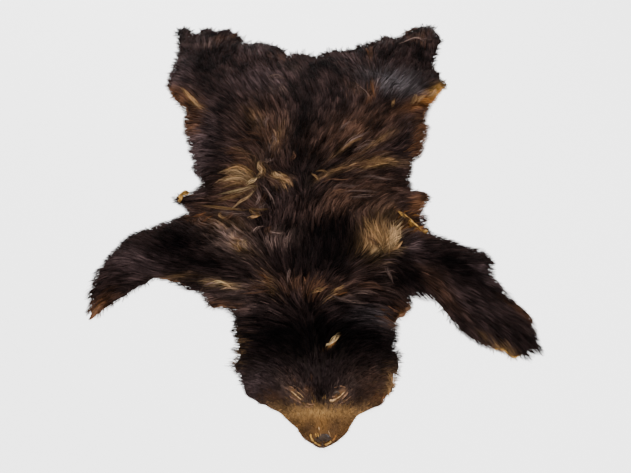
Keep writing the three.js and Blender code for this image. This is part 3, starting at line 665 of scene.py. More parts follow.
# %% Tint and lay the skin
DRIED, SUEDE = paint(184, 128, 70), paint(176, 142, 104)
skin_x, skin_y = skin_points[:, 0], skin_points[:, 1]
skin_tint = at(colours, skin_x, skin_y)
bared = at(bare, skin_x, skin_y)[:, None]
on_face = at(face, skin_x, skin_y)[:, None]
dried = DRIED * (1.1 - 0.7 * on_face)
skin_tint = skin_tint * (0.25 + 0.85 * on_face) * (1 - bared) + bared * dried
under = smooth(0.002, 0.02, at(margin, skin_x, skin_y))
under[:len(under) // 2] = 0  # the first half of the points are the top, the rest the underside
skin_tint = skin_tint + under[:, None] * (SUEDE - skin_tint)
skin = as_object("skin", skin_points, skin_faces, uv=skin_points[skin_faces.ravel()][:, :2] / 1.6 + 0.5,
                 colour=skin_tint, finish=leather_material)
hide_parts("hide")
print("bare leather at", int((bared > 0.5).sum()), "of", len(bared), "points")

# %% [markdown]
# Hair is what makes the rug. Blender's hair curves can't be carried to other programs, and one tube
# for every real hair would be millions of faces. So each strand here stands for a small bunch of
# hairs: a closed spindle with three sides, two rings and a point at each end. It follows the nap
# step by step, lies in the coat's depth, and leans towards the tip of the lock that it belongs to.
# The short hair of the face and the wool under the coat make do with one ring.

# %% Plan the locks


def lock_roots(spacing, seed):
    """Roots on a triangular net: rows 0.87 * spacing apart, every other one half a step along, jittered."""
    pick = np.random.default_rng(seed)
    xs = np.arange(cad_box[0].x, cad_box[1].x, spacing)
    ys = np.arange(cad_box[0].y, cad_box[1].y, spacing * 0.87)
    x, y = np.meshgrid(xs, ys)
    x[::2] += spacing / 2
    x += pick.uniform(-0.4, 0.4, x.shape) * spacing
    y += pick.uniform(-0.4, 0.4, y.shape) * spacing
    return x.ravel(), y.ravel()


def thinned(x, y, want, seed):
    """Keeps each root with the probability want."""
    keep = np.random.default_rng(seed).uniform(0, 1, x.shape) < want
    return x[keep], y[keep]


body_x, body_y = lock_roots(9.9 * MM, 21)
body_want = (at(depth, body_x, body_y) > 5 * MM) * (1 - at(face, body_x, body_y))
body_x, body_y = thinned(body_x, body_y, body_want, 22)
face_x, face_y = lock_roots(5.2 * MM, 23)
face_want = (at(depth, face_x, face_y) > 3 * MM) * at(face, face_x, face_y)
face_x, face_y = thinned(face_x, face_y, face_want, 24)
wool_x, wool_y = lock_roots(13.0 * MM, 25)
wool_want = (at(depth, wool_x, wool_y) > 8 * MM) * smooth(-0.64, -0.56, wool_y)
wool_x, wool_y = thinned(wool_x, wool_y, wool_want, 26)
print(len(body_x), "locks on the body,", len(face_x), "on the face,", len(wool_x), "of underfur")

# %% Grow strands from the locks


def path_of(x, y, length, swing):
    """Four points of a hair: 30, 38 and 32 hundredths of its length, each along the nap where it starts."""
    points = [np.stack([x, y], axis=1)]
    for share, turn in ((0.30, 0.6), (0.38, 0.2), (0.32, -0.5)):
        way = at(nap, points[-1][:, 0], points[-1][:, 1])
        side = np.stack([-way[:, 1], way[:, 0]], axis=1)
        way = way + side * (swing * turn)[:, None]
        points.append(points[-1] + way * (share * length)[:, None])
    return np.stack(points, axis=1)


def grow(lock_x, lock_y, bunch, radius, seed, share=1.0, lift=(0.84, 1.04)):
    """Strands of all locks: roots in a disc round each lock, tips drawn towards the lock's own tip.

    share scales the length; lift says how high between leather and coat top the strands lie.
    """
    # each lock has a length, a swing to one side, a brightness and a layer of its own
    pick = np.random.default_rng(seed)
    locks = len(lock_x)
    lock_length = share * at(lengths, lock_x, lock_y) * pick.uniform(0.8, 1.25, locks)
    wild = at(tousle, lock_x, lock_y)
    lock_swing = (0.12 + 0.4 * wild) * ripple(lock_x, lock_y, 0.06, seed + 1)
    lock_swing = lock_swing + pick.normal(0, 0.06, locks) * (1 + 3 * wild)
    guide = path_of(lock_x, lock_y, lock_length, lock_swing)
    broad = 0.34 + 0.22 * smooth(0.3, 0.5, lock_y)
    lock_shade = 0.5 * ripple(lock_x, lock_y, 0.04, seed + 2)
    lock_shade = lock_shade + broad * ripple(lock_x, lock_y, 0.11, seed + 3)
    lock_shade = lock_shade + pick.normal(0, 1, locks) * (0.27 + 0.2 * wild) - 0.12
    still = at(calm, lock_x, lock_y)
    lock_shade = np.exp(np.minimum(lock_shade, 0.7) * (1 - 0.55 * still))
    lock_layer = 1 - pick.uniform(0, 1, locks) * (0.12 + 0.26 * wild)
    along, across = pick.normal(0, 13 * MM, locks), pick.normal(0, 3 * MM, locks)
    way = at(nap, lock_x, lock_y)
    stray = np.stack([way[:, 0] * along - way[:, 1] * across, way[:, 1] * along + way[:, 0] * across])
    # the strands' roots, spread evenly over the disc of their lock
    owner = np.repeat(np.arange(locks), bunch)
    turn = pick.uniform(0, 2 * np.pi, len(owner))
    out = radius * np.sqrt(pick.uniform(0, 1, len(owner)))
    x = lock_x[owner] + out * np.cos(turn)
    y = lock_y[owner] + out * np.sin(turn)
    keep = at(depth, x, y) > 4 * MM
    x, y, owner = x[keep], y[keep], owner[keep]
    n = len(x)
    length = lock_length[owner] * pick.uniform(0.7, 1.1, n)
    swing = lock_swing[owner] + pick.normal(0, 0.10, n)
    path = path_of(x, y, length, swing)
    # a strand that would run over the edge is cut a few millimetres past it
    past = 0.5 * pick.uniform(0, 1, n) + 0.5 * pick.uniform(0, 1, locks)[owner]
    past = (1 + past ** 1.5 * (7 + 8 * at(fringe, x, y)) * (1 - 0.6 * at(face, x, y))) * MM
    inner, outer = at(depth, x, y), at(depth, path[:, 3, 0], path[:, 3, 1])
    length = length * np.clip((inner + past) / np.maximum(inner - outer, 1e-5), 0.12, 1)
    length = length * (1 - 0.5 * at(bare, path[:, 3, 0], path[:, 3, 1]))
    path = path_of(x, y, length, swing)
    # the tips of a lock come together, and no strand crosses a bare place
    at_rim = smooth(-0.004, 0.02, at(depth, path[:, 3, 0], path[:, 3, 1]))
    close = (0.45 + 0.65 * wild[owner]) * at_rim * pick.uniform(0.7, 1.15, n)
    gather = np.array([0, 0.12, 0.38, 0.62])[None, :, None] * close[:, None, None]
    path = path + gather * (guide[owner] - path)
    hidden = np.stack([at(bare, path[:, i, 0], path[:, i, 1]) for i in range(4)]).max(axis=0)
    shown = hidden < pick.uniform(0.25, 0.75, n)
    path, owner, length = path[shown], owner[shown], length[shown]
    n = len(path)
    # heights: a lock is round, so its outer strands lie lower
    lower = 0.16 * (out[keep][shown] / radius) ** 2
    layer = np.clip(lock_layer[owner] * pick.uniform(*lift, n) - lower, 0, 1.03)
    height = []
    for step, rise in enumerate((0, 0.62, 0.98, 0.86)):
        px, py = path[:, step, 0], path[:, step, 1]
        floor = np.where(at(margin, px, py) > 0, at(leather, px, py), 1.2 * MM)
        ceiling = np.maximum(at(top, px, py), floor + 1.5 * MM)
        height.append(floor + rise * layer * (ceiling - floor))
    path = np.concatenate([path, np.stack(height, axis=1)[..., None]], axis=2)
    colour = at(colours, path[:, 2, 0] + stray[0, owner], path[:, 2, 1] + stray[1, owner])
    own = pick.normal(0, 0.42, n) * (1 - 0.35 * still[owner])
    colour = colour * (lock_shade[owner] * np.exp(own - 0.08))[:, None]
    return path, colour, length


def tubes(path, radius, sides):
    """Closed tapered tubes along paths (n, k, 3): a point at each end and a ring at each step between.

    A ring's corner is the path + radius * (sideways * cos a + 0.7 * up * sin a).
    """
    n, k = path.shape[:2]
    ahead = path[:, 2:, :2] - path[:, :-2, :2]
    ahead /= np.maximum(np.linalg.norm(ahead, axis=-1, keepdims=True), 1e-9)
    side = np.stack([-ahead[..., 1], ahead[..., 0], ahead[..., 0] * 0], axis=-1)[:, :, None]
    angles = (np.pi / 2 + 2 * np.pi * np.arange(sides) / sides)[:, None]
    rings = side * np.cos(angles) + np.array([0, 0, 0.7]) * np.sin(angles)
    rings = path[:, 1:-1, None] + radius[:, :, None, None] * rings
    points = np.concatenate([path[:, :1], rings.reshape(n, -1, 3), path[:, -1:]], axis=1)
    last = points.shape[1] - 1
    pattern = []
    for j in range(sides):
        a, b = 1 + j, 1 + (j + 1) % sides
        pattern.append((0, b, a))
        for up in range(0, (k - 3) * sides, sides):
            pattern += [(a + up, b + up, b + up + sides), (a + up, b + up + sides, a + up + sides)]
        pattern.append((last - sides + j, last - sides + (j + 1) % sides, last))
    faces = np.array(pattern)[None] + (last + 1) * np.arange(n)[:, None, None]
    return points.reshape(-1, 3), faces.reshape(-1, 3)


def tube_uv(n, steps, sides):
    """Each tube has a cell of its own in the unit square, with a margin of 0.08 of the cell.

    Along the cell runs from root to tip, and across it once round the tube.
    """
    cells = math.ceil(math.sqrt(n))
    along, round_it = np.linspace(0, 1, steps), np.linspace(0.05, 0.95, sides + 1)
    corners = []
    for j in range(sides):
        low, high, mid = round_it[j], round_it[j + 1], round_it[j:j + 2].mean()
        corners += [(along[0], mid), (along[1], high), (along[1], low)]
        for here, there in zip(along[1:-2], along[2:-1]):
            corners += [(here, low), (here, high), (there, high), (here, low), (there, high), (there, low)]
        corners += [(along[-2], low), (along[-2], high), (along[-1], mid)]
    cell = np.stack([np.arange(n) % cells, np.arange(n) // cells], axis=1)
    return ((cell[:, None] + 0.08 + 0.84 * np.array(corners)[None]) / cells).reshape(-1, 2)


print("strand helpers are ready")

# %% [markdown]
# Bear hair has a soft sheen and no gloss, and its colour changes from lock to lock and from root to
# tip. A texture would need a picture or a pattern in space. Here every point of a strand has its own
# colour, worked out from the patches above, and the material only reads it. The roots are dark,
# because hardly any light gets down to them, and the tips are the brightest.

# %% Finish of the hair
hair_finish = Finish("bear_hair")
tint = hair_finish.node("ShaderNodeAttribute", {"attribute_name": "tint"}, output="Color")
hair_material = hair_finish.done(Base_Color=tint, Roughness=0.45, Specular_IOR_Level=0.04)
print("finish:", hair_material.name)

# %% Make the coat, one piece for each part of the animal
SIDES = 3  # of a strand


def hair_piece(name, path, radius, colour, tones):
    """Tubes along paths. tones: brightness of each step from root to tip; the dark roots are painted shade.
    """
    points, faces = tubes(path, radius, SIDES)
    rings = np.concatenate([[tones[0]], np.repeat(tones[1:-1], SIDES), [tones[-1]]])
    piece = as_object(name, points, faces, uv=tube_uv(len(path), path.shape[1], SIDES), uv_name="OFBake",
                      colour=(colour[:, None] * rings[None, :, None]).reshape(-1, 3), finish=hair_material)
    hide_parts("hide")
    print(name, len(path), "strands,", len(faces), "triangles")
    return len(faces)


# In each list of tones below, the dark first steps are painted shade deep in the coat.
TWO_RINGS = (1.0, 0.7)  # width at the first ring and at the second
path, colour, length = grow(body_x, body_y, 5, 7.0 * MM, 31)
along = path[:, 0, 1]
width = np.clip(0.019 * length, 0.3 * MM, 0.95 * MM) * (0.8 + 0.2 * smooth(-0.58, -0.48, along))
PARTS = [  # name, y in mm where it ends
    ("fur_neck", -330), ("fur_shoulders", -140), ("fur_back", 60), ("fur_loins", 280),
    ("fur_rump", 480), ("fur_hind_legs", 900),
]
start, total = -900, 0
for name, end in PARTS:
    mine = (along >= start * MM) & (along < end * MM)
    start = end
    total += hair_piece(name, path[mine], width[mine, None] * TWO_RINGS, colour[mine], (0.4, 0.8, 1.1, 1.3))

path, colour, length = grow(face_x, face_y, 6, 3.6 * MM, 32)
width = np.clip(0.02 * length, 0.22 * MM, 0.6 * MM)[:, None]
total += hair_piece("fur_head", path[:, [0, 2, 3]], width, colour, (0.6, 0.95, 1.2))
# the underfur's low tones are painted shade under the coat
path, colour, length = grow(wool_x, wool_y, 2, 6.0 * MM, 33, share=0.6, lift=(0.4, 0.7))
width = np.full((len(path), 1), 1.7 * MM)
total += hair_piece("underfur", path[:, [0, 2, 3]], width, colour, (0.3, 0.5, 0.6))
print("coat:", total, "triangles")

# %% [markdown]
# The edge of a hide isn't a clean cut. Tufts hang over it and end in points of a few hairs, which
# gives the rug its soft outline. So a row of extra tufts grows along the edge: each one turns
# from the nap towards the outside and ends a few millimetres beyond the line. The coat is longest at
# the rear, so a second, sparser row of longer tufts hangs over that edge.

# %% Tufts over the edge


def rim_tufts(spacing, bunch, seed, spread=2.0, extra=0.0, front=-9.0):
    """Paths of four points: root, two bends and the tip, which lies past the edge.

    It lies 2 to 11 mm past it, up to 16 mm at the rear, and the fringe adds up to 7 mm, and extra.
    The way of a tuft is outward * (1 + how far the nap runs inward) + 0.8 * nap, made a unit vector.
    """
    pick = np.random.default_rng(seed)
    x, y = lock_roots(spacing, seed)
    inner = at(depth, x, y)
    shown = (inner > 1 * MM) & (inner < 10 * MM) & (pick.uniform(0.1, 0.8, x.shape) > at(bare, x, y))
    shown = shown & (y > front)
    x, y, inner = x[shown], y[shown], inner[shown]
    outward_way = slope_of(depth, x, y)
    lie = at(nap, x, y)
    against = np.maximum(-(lie * outward_way).sum(axis=1), 0)
    way = outward_way * (1 + against)[:, None] + 0.8 * lie
    way /= np.linalg.norm(way, axis=1, keepdims=True)
    n = len(x)
    rear = smooth(0.25, 0.5, y)
    past = 2 + (9 + 5 * rear) * pick.uniform(0, 1, n) ** 1.8 + extra * pick.uniform(0.3, 1, n)
    past = past + 7 * at(fringe, x, y) * pick.uniform(0.3, 1, n)
    past = past * (1 - 0.9 * at(face, x, y) * (1 - at(fringe, x, y))) * MM
    reach = (inner + past) / np.maximum((way * outward_way).sum(axis=1), 0.5)
    root = np.stack([x, y], axis=1) - way * 7 * MM
    tip = np.stack([x, y], axis=1) + way * reach[:, None]
    owner = np.repeat(np.arange(n), bunch)
    m = len(owner)
    start = root[owner] + pick.normal(0, spread * MM, (m, 2))
    end = start + (tip - root)[owner] * pick.uniform(0.6, 1.05, m)[:, None] + 0.7 * (root[owner] - start)
    bend = np.stack([-way[:, 1], way[:, 0]], axis=1)[owner] * pick.normal(0, 1.2 * MM, m)[:, None]
    t = np.array([0, 0.36, 0.7, 1])[None, :, None]
    path = start[:, None] + t * (end - start)[:, None] + np.sin(np.pi * t) * bend[:, None]
    high = np.minimum(at(top, start[:, 0], start[:, 1]), 0.014 + 0.03 * rear[owner])
    droop = (0.2 + 0.55 * rear[owner])[:, None] ** np.array([0.3, 0.15, 0.5, 1.0])
    height = high[:, None] * droop * pick.uniform(0.6, 1.1, m)[:, None]
    path = np.concatenate([path, np.maximum(height, 1.2 * MM)[..., None]], axis=2)
    shade = pick.normal(0, 0.3, n)[owner] + pick.normal(0, 0.3, m)
    return path, at(colours, start[:, 0], start[:, 1]) * np.exp(shade)[:, None]


# the dark root tones of the tufts are painted shade deep in the coat
TUFT_TONES = (0.5, 0.9, 1.0, 1.1)
path, colour = rim_tufts(6.6 * MM, 4, 51)
width = np.full((len(path), 1), 0.55 * MM) * TWO_RINGS
total += hair_piece("edge_tufts", path, width, colour * 0.9, TUFT_TONES)
path, colour = rim_tufts(11 * MM, 8, 52, spread=2.6, extra=6.0, front=0.25)
width = np.full((len(path), 1), 0.95 * MM) * TWO_RINGS
total += hair_piece("rear_tufts", path, width, colour * 0.9, TUFT_TONES)

# %% [markdown]
# Behind the left shoulder, along the parting and on the fan at the right shoulder, single locks
# stand out with pale, sun-bleached backs. Each of them bends its own way, so they are drawn one by
# one: a few points from root to tip, a smooth curve through them, and eight thin strands on it
# that swell apart in the middle and meet again at the tip. Spikes over the rear edge are locks too.

# %% A smooth curve through points


def spline(points, count):
    """Catmull-Rom curve through the points.

    Each piece is a cubic whose slope at a point is half of the step between its neighbours.
    """
    p = np.asarray(points, dtype=float)
    t = np.linspace(0, len(p) - 1 - 1e-6, count)
    i = t.astype(int)
    u = (t - i)[:, None]
    a, b, c, d = (p[np.clip(i + k, 0, len(p) - 1)] for k in (-1, 0, 1, 2))
    return 0.5 * (2 * b + (c - a) * u + (2 * a - 5 * b + 4 * c - d) * u ** 2
                  + (3 * b - a - 3 * c + d) * u ** 3)


print("spline is ready")

# %% Locks that stand out
DULL_GOLD = (GOLD + BROWN) / 2
LOCK_STRANDS, LOCK_POINTS = 8, 9
# locks in the violet or the grey colour carry painted sheen
LOCKS = [  # points (x, y) in mm from root to tip, locks side by side, colour
    # the pale whorl behind the left shoulder
    ([(-160, -20), (-175, 6), (-205, 16), (-238, 6)], 2, GOLD),
    ([(-150, -8), (-165, 16), (-198, 32), (-236, 26)], 2, BROWN),
    ([(-165, 10), (-190, 50), (-232, 52)], 2, BROWN),
    ([(-172, -25), (-195, -6), (-220, 2), (-250, -2)], 3, BEIGE),
    ([(-172, -32), (-200, -22), (-232, -22), (-258, -30)], 3, BEIGE),
    ([(-165, -40), (-195, -38), (-225, -44), (-250, -50)], 2, DULL_GOLD),
    ([(-160, -46), (-185, -60), (-215, -72), (-252, -72)], 1, CREAM),
    ([(-165, -60), (-195, -78), (-225, -88), (-250, -87)], 2, DULL_GOLD),
    ([(-140, 50), (-152, 30), (-138, 12), (-152, -8)], 1, BEIGE),
    ([(-128, 45), (-140, 28), (-126, 8), (-138, -6)], 1, GOLD),
    ([(-150, -10), (-160, -25), (-176, -36)], 1, CREAM),
    ([(-128, 62), (-118, 50), (-108, 64)], 1, TAUPE),
    ([(-150, -46), (-162, -75), (-186, -96), (-206, -114)], 1, BEIGE),
    ([(-140, -44), (-120, -56), (-106, -82), (-100, -108)], 1, TAUPE),
    ([(-150, -60), (-140, -85), (-150, -108)], 1, TAUPE),
    ([(-128, -60), (-124, -85), (-136, -105), (-130, -125)], 1, BROWN),
    ([(-168, -126), (-196, -130), (-228, -123), (-262, -113), (-292, -106)], 1, GOLD),
    ([(-170, -140), (-200, -146), (-232, -140), (-268, -128)], 1, TAUPE),
    ([(-110, -128), (-136, -134), (-156, -124)], 1, GOLD),
    ([(-104, 12), (-99, 2), (-91, -8)], 2, BEIGE),
    ([(-93, 10), (-84, 0), (-74, -8)], 2, BEIGE), ([(-86, 4), (-74, -3), (-60, -6)], 1, GOLD),
    # left side of the back
    ([(-150, 195), (-166, 222), (-160, 252)], 1, TAUPE),
    ([(-135, 190), (-140, 215), (-128, 240)], 1, TAUPE),
    ([(-118, 112), (-108, 140), (-116, 170)], 1, TAUPE),
    ([(-140, 150), (-165, 165), (-190, 168)], 1, BROWN),
    ([(-150, 130), (-185, 135), (-215, 128)], 1, BROWN),
    ([(-185, 80), (-220, 90), (-262, 88)], 1, BROWN),
    ([(-170, 60), (-202, 74), (-244, 78)], 2, BROWN), ([(-95, 100), (-84, 118), (-90, 140)], 1, BROWN),
    ([(-110, 78), (-122, 95), (-116, 118)], 1, TAUPE), ([(-60, 60), (-44, 72), (-48, 92)], 1, BROWN),
    # right side of the back
    ([(20, 20), (35, 20), (52, 10)], 1, GOLD), ([(6, 12), (18, 2), (26, -14)], 1, GOLD),
    ([(60, 6), (88, 14), (118, 24)], 1, DULL_GOLD),
    ([(100, 20), (140, 32), (180, 38), (216, 44)], 2, BROWN),
    ([(126, 26), (164, 36), (200, 44), (232, 56)], 2, DULL_GOLD),
    ([(166, 28), (200, 34), (232, 42)], 2, GOLD),
    ([(150, 50), (186, 62), (222, 72), (248, 80)], 1, BROWN),
    ([(92, 78), (114, 104), (140, 124), (166, 134)], 1, DULL_GOLD),
    ([(104, 95), (130, 130), (160, 150), (186, 164)], 1, TAUPE),
    ([(140, 90), (170, 106), (202, 118)], 1, TAUPE), ([(110, 60), (140, 74), (176, 84)], 1, BROWN),
    ([(60, 110), (72, 136), (90, 160)], 1, BROWN), ([(96, 170), (112, 196), (134, 214)], 1, TAUPE),
    ([(60, -60), (90, -42), (122, -44), (152, -38)], 1, TAUPE),
    ([(88, -76), (120, -62), (156, -62), (192, -68)], 1, TAUPE),
    ([(60, -96), (84, -72), (112, -64)], 2, BROWN), ([(130, -96), (160, -84), (202, -88)], 1, TAUPE),
    ([(40, -30), (70, -18), (100, -22), (130, -14)], 1, BROWN),
    ([(130, -12), (168, -6), (206, -14), (240, -12)], 1, TAUPE),
    # rump and hind legs
    ([(-356, 288), (-380, 318), (-398, 344), (-420, 372)], 2, GOLD),
    ([(-352, 284), (-370, 306), (-380, 330)], 1, BEIGE),
    ([(128, 408), (150, 390), (172, 358), (184, 318)], 1, TAUPE),
    ([(140, 400), (165, 376), (184, 340)], 1, BROWN), ([(204, 402), (208, 370), (212, 330)], 1, RUST),
    ([(218, 596), (214, 572), (219, 546), (212, 514)], 1, BROWN),
    ([(204, 590), (203, 566), (209, 540)], 1, RUST),
    ([(215, 450), (250, 426), (290, 412), (322, 400)], 1, GREY_SHEEN),
    ([(270, 284), (274, 302), (278, 322)], 1, GOLD), ([(328, 616), (378, 630), (432, 625)], 1, TAUPE),
    ([(330, 300), (346, 320), (350, 344)], 2, GOLD),
    ([(350, 308), (366, 330), (384, 344)], 2, GOLD), ([(392, 344), (414, 364), (430, 392)], 3, GOLD),
    ([(412, 350), (432, 372), (446, 402)], 2, BEIGE), ([(-150, 425), (-120, 432), (-88, 424)], 1, TAUPE),
    ([(-210, 440), (-180, 452), (-150, 446)], 1, VIOLET_SHEEN),
    # the fan at the right shoulder
    ([(196, -262), (188, -232), (172, -204), (158, -176)], 3, GOLD),
    ([(200, -262), (198, -232), (188, -202), (182, -172)], 3, GOLD),
    ([(204, -262), (210, -236), (208, -208), (204, -176)], 3, GOLD),
    ([(208, -262), (222, -240), (226, -212), (226, -184)], 3, BEIGE),
    ([(210, -264), (227, -244), (235, -220), (237, -192)], 3, BEIGE),
    ([(212, -268), (234, -258), (249, -236)], 2, GOLD),
    ([(192, -258), (176, -236), (160, -222)], 2, BROWN),
    # neck and shoulders
    ([(-98, -372), (-100, -354), (-110, -338), (-130, -328)], 1, RUST),
    ([(-104, -372), (-130, -368), (-156, -370)], 2, BROWN),
    ([(-100, -380), (-130, -384), (-170, -382)], 1, BROWN),
    ([(-50, -362), (-54, -342), (-46, -324)], 1, TAUPE),
    ([(-30, -384), (-34, -362), (-26, -344)], 2, BROWN),
    ([(6, -380), (20, -372), (32, -358)], 2, BROWN), ([(8, -386), (26, -384), (42, -378)], 1, GOLD),
    ([(62, -388), (76, -376), (92, -370)], 1, GOLD), ([(66, -398), (82, -392), (100, -386)], 1, RUST),
    ([(56, -396), (80, -408), (108, -416), (136, -414)], 1, TAUPE),
    ([(110, -392), (140, -388), (172, -396)], 1, TAUPE),
    ([(120, -372), (150, -368), (184, -378)], 1, BROWN),
    ([(200, -314), (206, -334), (215, -356)], 1, TAUPE),
    ([(-246, -356), (-228, -351), (-208, -356)], 1, CREAM),
    ([(-268, -360), (-250, -353), (-230, -352)], 1, TAUPE),
    ([(-224, -352), (-206, -358), (-192, -367)], 1, BEIGE),
    ([(-330, -70), (-350, -72), (-372, -77)], 2, BASE),
    ([(-324, -60), (-342, -62), (-358, -66)], 1, BROWN),
    ([(-150, -262), (-172, -252), (-196, -240)], 2, TAUPE),
    ([(-60, -210), (-86, -214), (-108, -206)], 1, TAUPE),
    # curls behind the left shoulder
    ([(-236, -132), (-248, -146), (-238, -160), (-224, -154)], 1, GOLD),
    ([(-206, -136), (-216, -152), (-232, -166)], 2, BROWN),
    ([(-180, -150), (-196, -160), (-192, -178)], 1, BROWN),
    ([(-150, -118), (-160, -134), (-148, -146), (-136, -138)], 1, GOLD),
    ([(-120, -104), (-132, -118), (-126, -134)], 1, TAUPE),
    ([(-132, -148), (-146, -160), (-164, -158)], 1, GOLD),
    ([(-250, -176), (-266, -190), (-258, -206)], 1, BROWN),
    ([(-226, -184), (-238, -200), (-226, -214)], 1, TAUPE),
    ([(-200, -196), (-214, -206), (-216, -224)], 2, TAUPE),
    ([(-176, -214), (-190, -228), (-206, -232)], 1, BROWN),
    ([(-176, -236), (-186, -252), (-176, -266)], 2, GOLD),
    ([(-160, -232), (-168, -250), (-158, -262)], 1, BEIGE),
    ([(-120, -190), (-138, -198), (-150, -212)], 1, TAUPE),
    ([(-98, -186), (-108, -202), (-98, -216)], 1, BROWN),
    ([(-290, -128), (-306, -140), (-322, -138)], 1, RUST),
    ([(-264, -146), (-280, -156), (-292, -170)], 1, RUST),
    # rim of the right cheek, tear in the neck
    ([(188, -584), (197, -600), (196, -618)], 1, GOLD),
    ([(186, -606), (192, -622), (186, -640)], 1, GOLD),
    ([(176, -628), (178, -640), (168, -654)], 1, RUST), ([(50, -524), (60, -516), (66, -502)], 1, CREAM),
    ([(52, -522), (64, -512), (78, -500)], 1, CREAM),
    # spikes over the rear edge
    ([(-314, 655), (-304, 686), (-300, 718)], 2, BASE),
    ([(-290, 648), (-278, 678), (-268, 708)], 2, BROWN),
    ([(-264, 628), (-252, 656), (-238, 682)], 2, BASE),
    ([(-246, 606), (-232, 632), (-214, 656)], 2, BASE),
    ([(-52, 540), (-46, 568), (-50, 598)], 2, BASE), ([(-34, 542), (-26, 572), (-22, 604)], 2, BASE),
    ([(-8, 540), (2, 566), (14, 592)], 1, BASE), ([(60, 558), (66, 588), (64, 614)], 2, BASE),
    ([(98, 568), (106, 596), (118, 620)], 1, BASE), ([(132, 572), (140, 600), (138, 624)], 1, BASE),
    ([(184, 570), (181, 602), (174, 632)], 2, BLACK), ([(200, 572), (202, 604), (208, 636)], 2, BLACK),
    ([(236, 596), (240, 624), (236, 652)], 1, BASE), ([(262, 610), (268, 638), (280, 664)], 2, BASE),
    ([(-430, 650), (-424, 676), (-412, 698)], 2, BASE),
    ([(-380, 680), (-372, 708), (-378, 732)], 2, BASE),
    ([(-196, 590), (-186, 622), (-190, 650)], 1, VIOLET_SHEEN),
    ([(-150, 590), (-144, 616), (-134, 642)], 1, VIOLET_SHEEN),
    ([(300, 640), (304, 668), (298, 692)], 1, BASE), ([(372, 668), (366, 694), (372, 718)], 1, BASE),
]


def drawn_locks(seed):
    """Strands of the drawn locks: curve + sideways * (place in the row + own * (0.3 + sin(pi t)))."""
    pick = np.random.default_rng(seed)
    t = np.linspace(0, 1, LOCK_POINTS)
    paths, tones = [], []
    for points, side_by_side, tone in LOCKS:
        line = spline(np.array(points) * MM, LOCK_POINTS)
        ahead = np.gradient(line, axis=0)
        side = np.stack([-ahead[:, 1], ahead[:, 0]], axis=1) / np.linalg.norm(ahead, axis=1)[:, None]
        lock = np.repeat(np.arange(side_by_side), LOCK_STRANDS)
        n = len(lock)
        shift = (lock - (side_by_side - 1) / 2) * 6 * MM + pick.normal(0, 1.2 * MM, side_by_side)[lock]
        own = pick.normal(0, 2.5 * MM, n)
        wave = pick.normal(0, 1.0 * MM, n)[:, None] * np.sin(3 * np.pi * t + pick.uniform(0, 6, n)[:, None])
        offset = shift[:, None] * (1 - 0.4 * t) + own[:, None] * (0.3 + np.sin(np.pi * t)) + wave
        slide = pick.normal(0, 0.13, n)[:, None, None] * (line[-1] - line[0])
        paths.append(line[None] + offset[..., None] * side[None] + slide)
        shade = pick.normal(0, 0.2, side_by_side)[lock] + pick.normal(0, 0.5, n) - 0.15
        tones.append(tone * np.exp(shade)[:, None])
    flat, tone = np.concatenate(paths), np.concatenate(tones)
    arch = 0.55 + 0.45 * np.sin(np.pi * np.clip(t, 0.06, 0.9)) ** 0.5
    rise = pick.uniform(0.78, 1.04, len(flat))[:, None] * arch
    low = at(leather, flat[..., 0], flat[..., 1])
    high = np.maximum(at(top, flat[..., 0], flat[..., 1]), low + 1.5 * MM)
    high = np.maximum(high, 0.85 * high[:, 3:4] * smooth(0.52, 0.55, flat[:, -1:, 1]))
    return np.concatenate([flat, (low + rise * (high - low))[..., None]], axis=2), tone


path, colour = drawn_locks(61)
swell = 0.42 * MM * (0.35 + 0.65 * np.sin(np.pi * np.linspace(0, 1, LOCK_POINTS)[1:-1]) ** 0.6)
# the dark first tones of these locks are painted shade at their roots
total += hair_piece("standing_locks", path, np.tile(swell, (len(path), 1)), colour,
                    (0.3, 0.45, 0.7, 0.95, 1.05, 1.05, 0.95, 0.9, 1.0))
print("all hair:", total, "triangles")

# %% [markdown]
# Where the hair stops short of the edge, the skin shows. Rawhide that dries without being pegged
# curls, so these edges have rolled up into thin lips that shine orange and yellow. Each lip is
# a short row of points along the edge and a C-shaped section carried along it. A curve with
# a bevel would do as well, but a swept section lets the width and the colour change on the way.

# %% Carry a section along a path


def swept(path, section, size):
    """Section points (side, up) times the size at each step, set square to the path; fans close it."""
    n, m = len(path), len(section)
    ahead = np.gradient(path, axis=0)
    ahead /= np.linalg.norm(ahead, axis=1, keepdims=True)
    side = np.stack([-ahead[:, 1], ahead[:, 0], np.zeros(n)], axis=1)
    side /= np.maximum(np.linalg.norm(side, axis=1, keepdims=True), 1e-9)
    up = np.cross(ahead, side)
    ring = side[:, None] * section[None, :, :1] + up[:, None] * section[None, :, 1:]
    points = (path[:, None] + ring * size[:, None, None]).reshape(-1, 3)
    k = np.arange(m)
    quads = np.stack([k, (k + 1) % m, (k + 1) % m + m, k + m], axis=1)
    faces = (quads[None] + m * np.arange(n - 1)[:, None, None]).reshape(-1, 4)
    halves = np.concatenate([faces[:, [0, 1, 2]], faces[:, [0, 2, 3]]])
    last = (n - 1) * m
    caps = np.concatenate([np.stack([k * 0 + n * m, (k + 1) % m, k], axis=1),
                           np.stack([k * 0 + n * m + 1, k + last, (k + 1) % m + last], axis=1)])
    middle = np.stack([points[:m].mean(axis=0), points[-m:].mean(axis=0)])
    return np.concatenate([points, middle]), np.concatenate([halves, caps])


def outward(points, faces):
    """Turns the faces round if the volume, the sum of a . (b x c) over them, comes out negative."""
    a, b, c = (points[faces[:, i]] for i in range(3))
    return faces if (a * np.cross(b, c)).sum() > 0 else faces[:, ::-1]


def joined(parts):
    """Several (points, faces, colour) as one mesh: each part's face numbers start after the last's."""
    points, faces, colours, count = [], [], [], 0
    for p, f, c in parts:
        points.append(p)
        faces.append(outward(p, f) + count)
        colours.append(c)
        count += len(p)
    return np.concatenate(points), np.concatenate(faces), np.concatenate(colours)


print("sweep is ready")

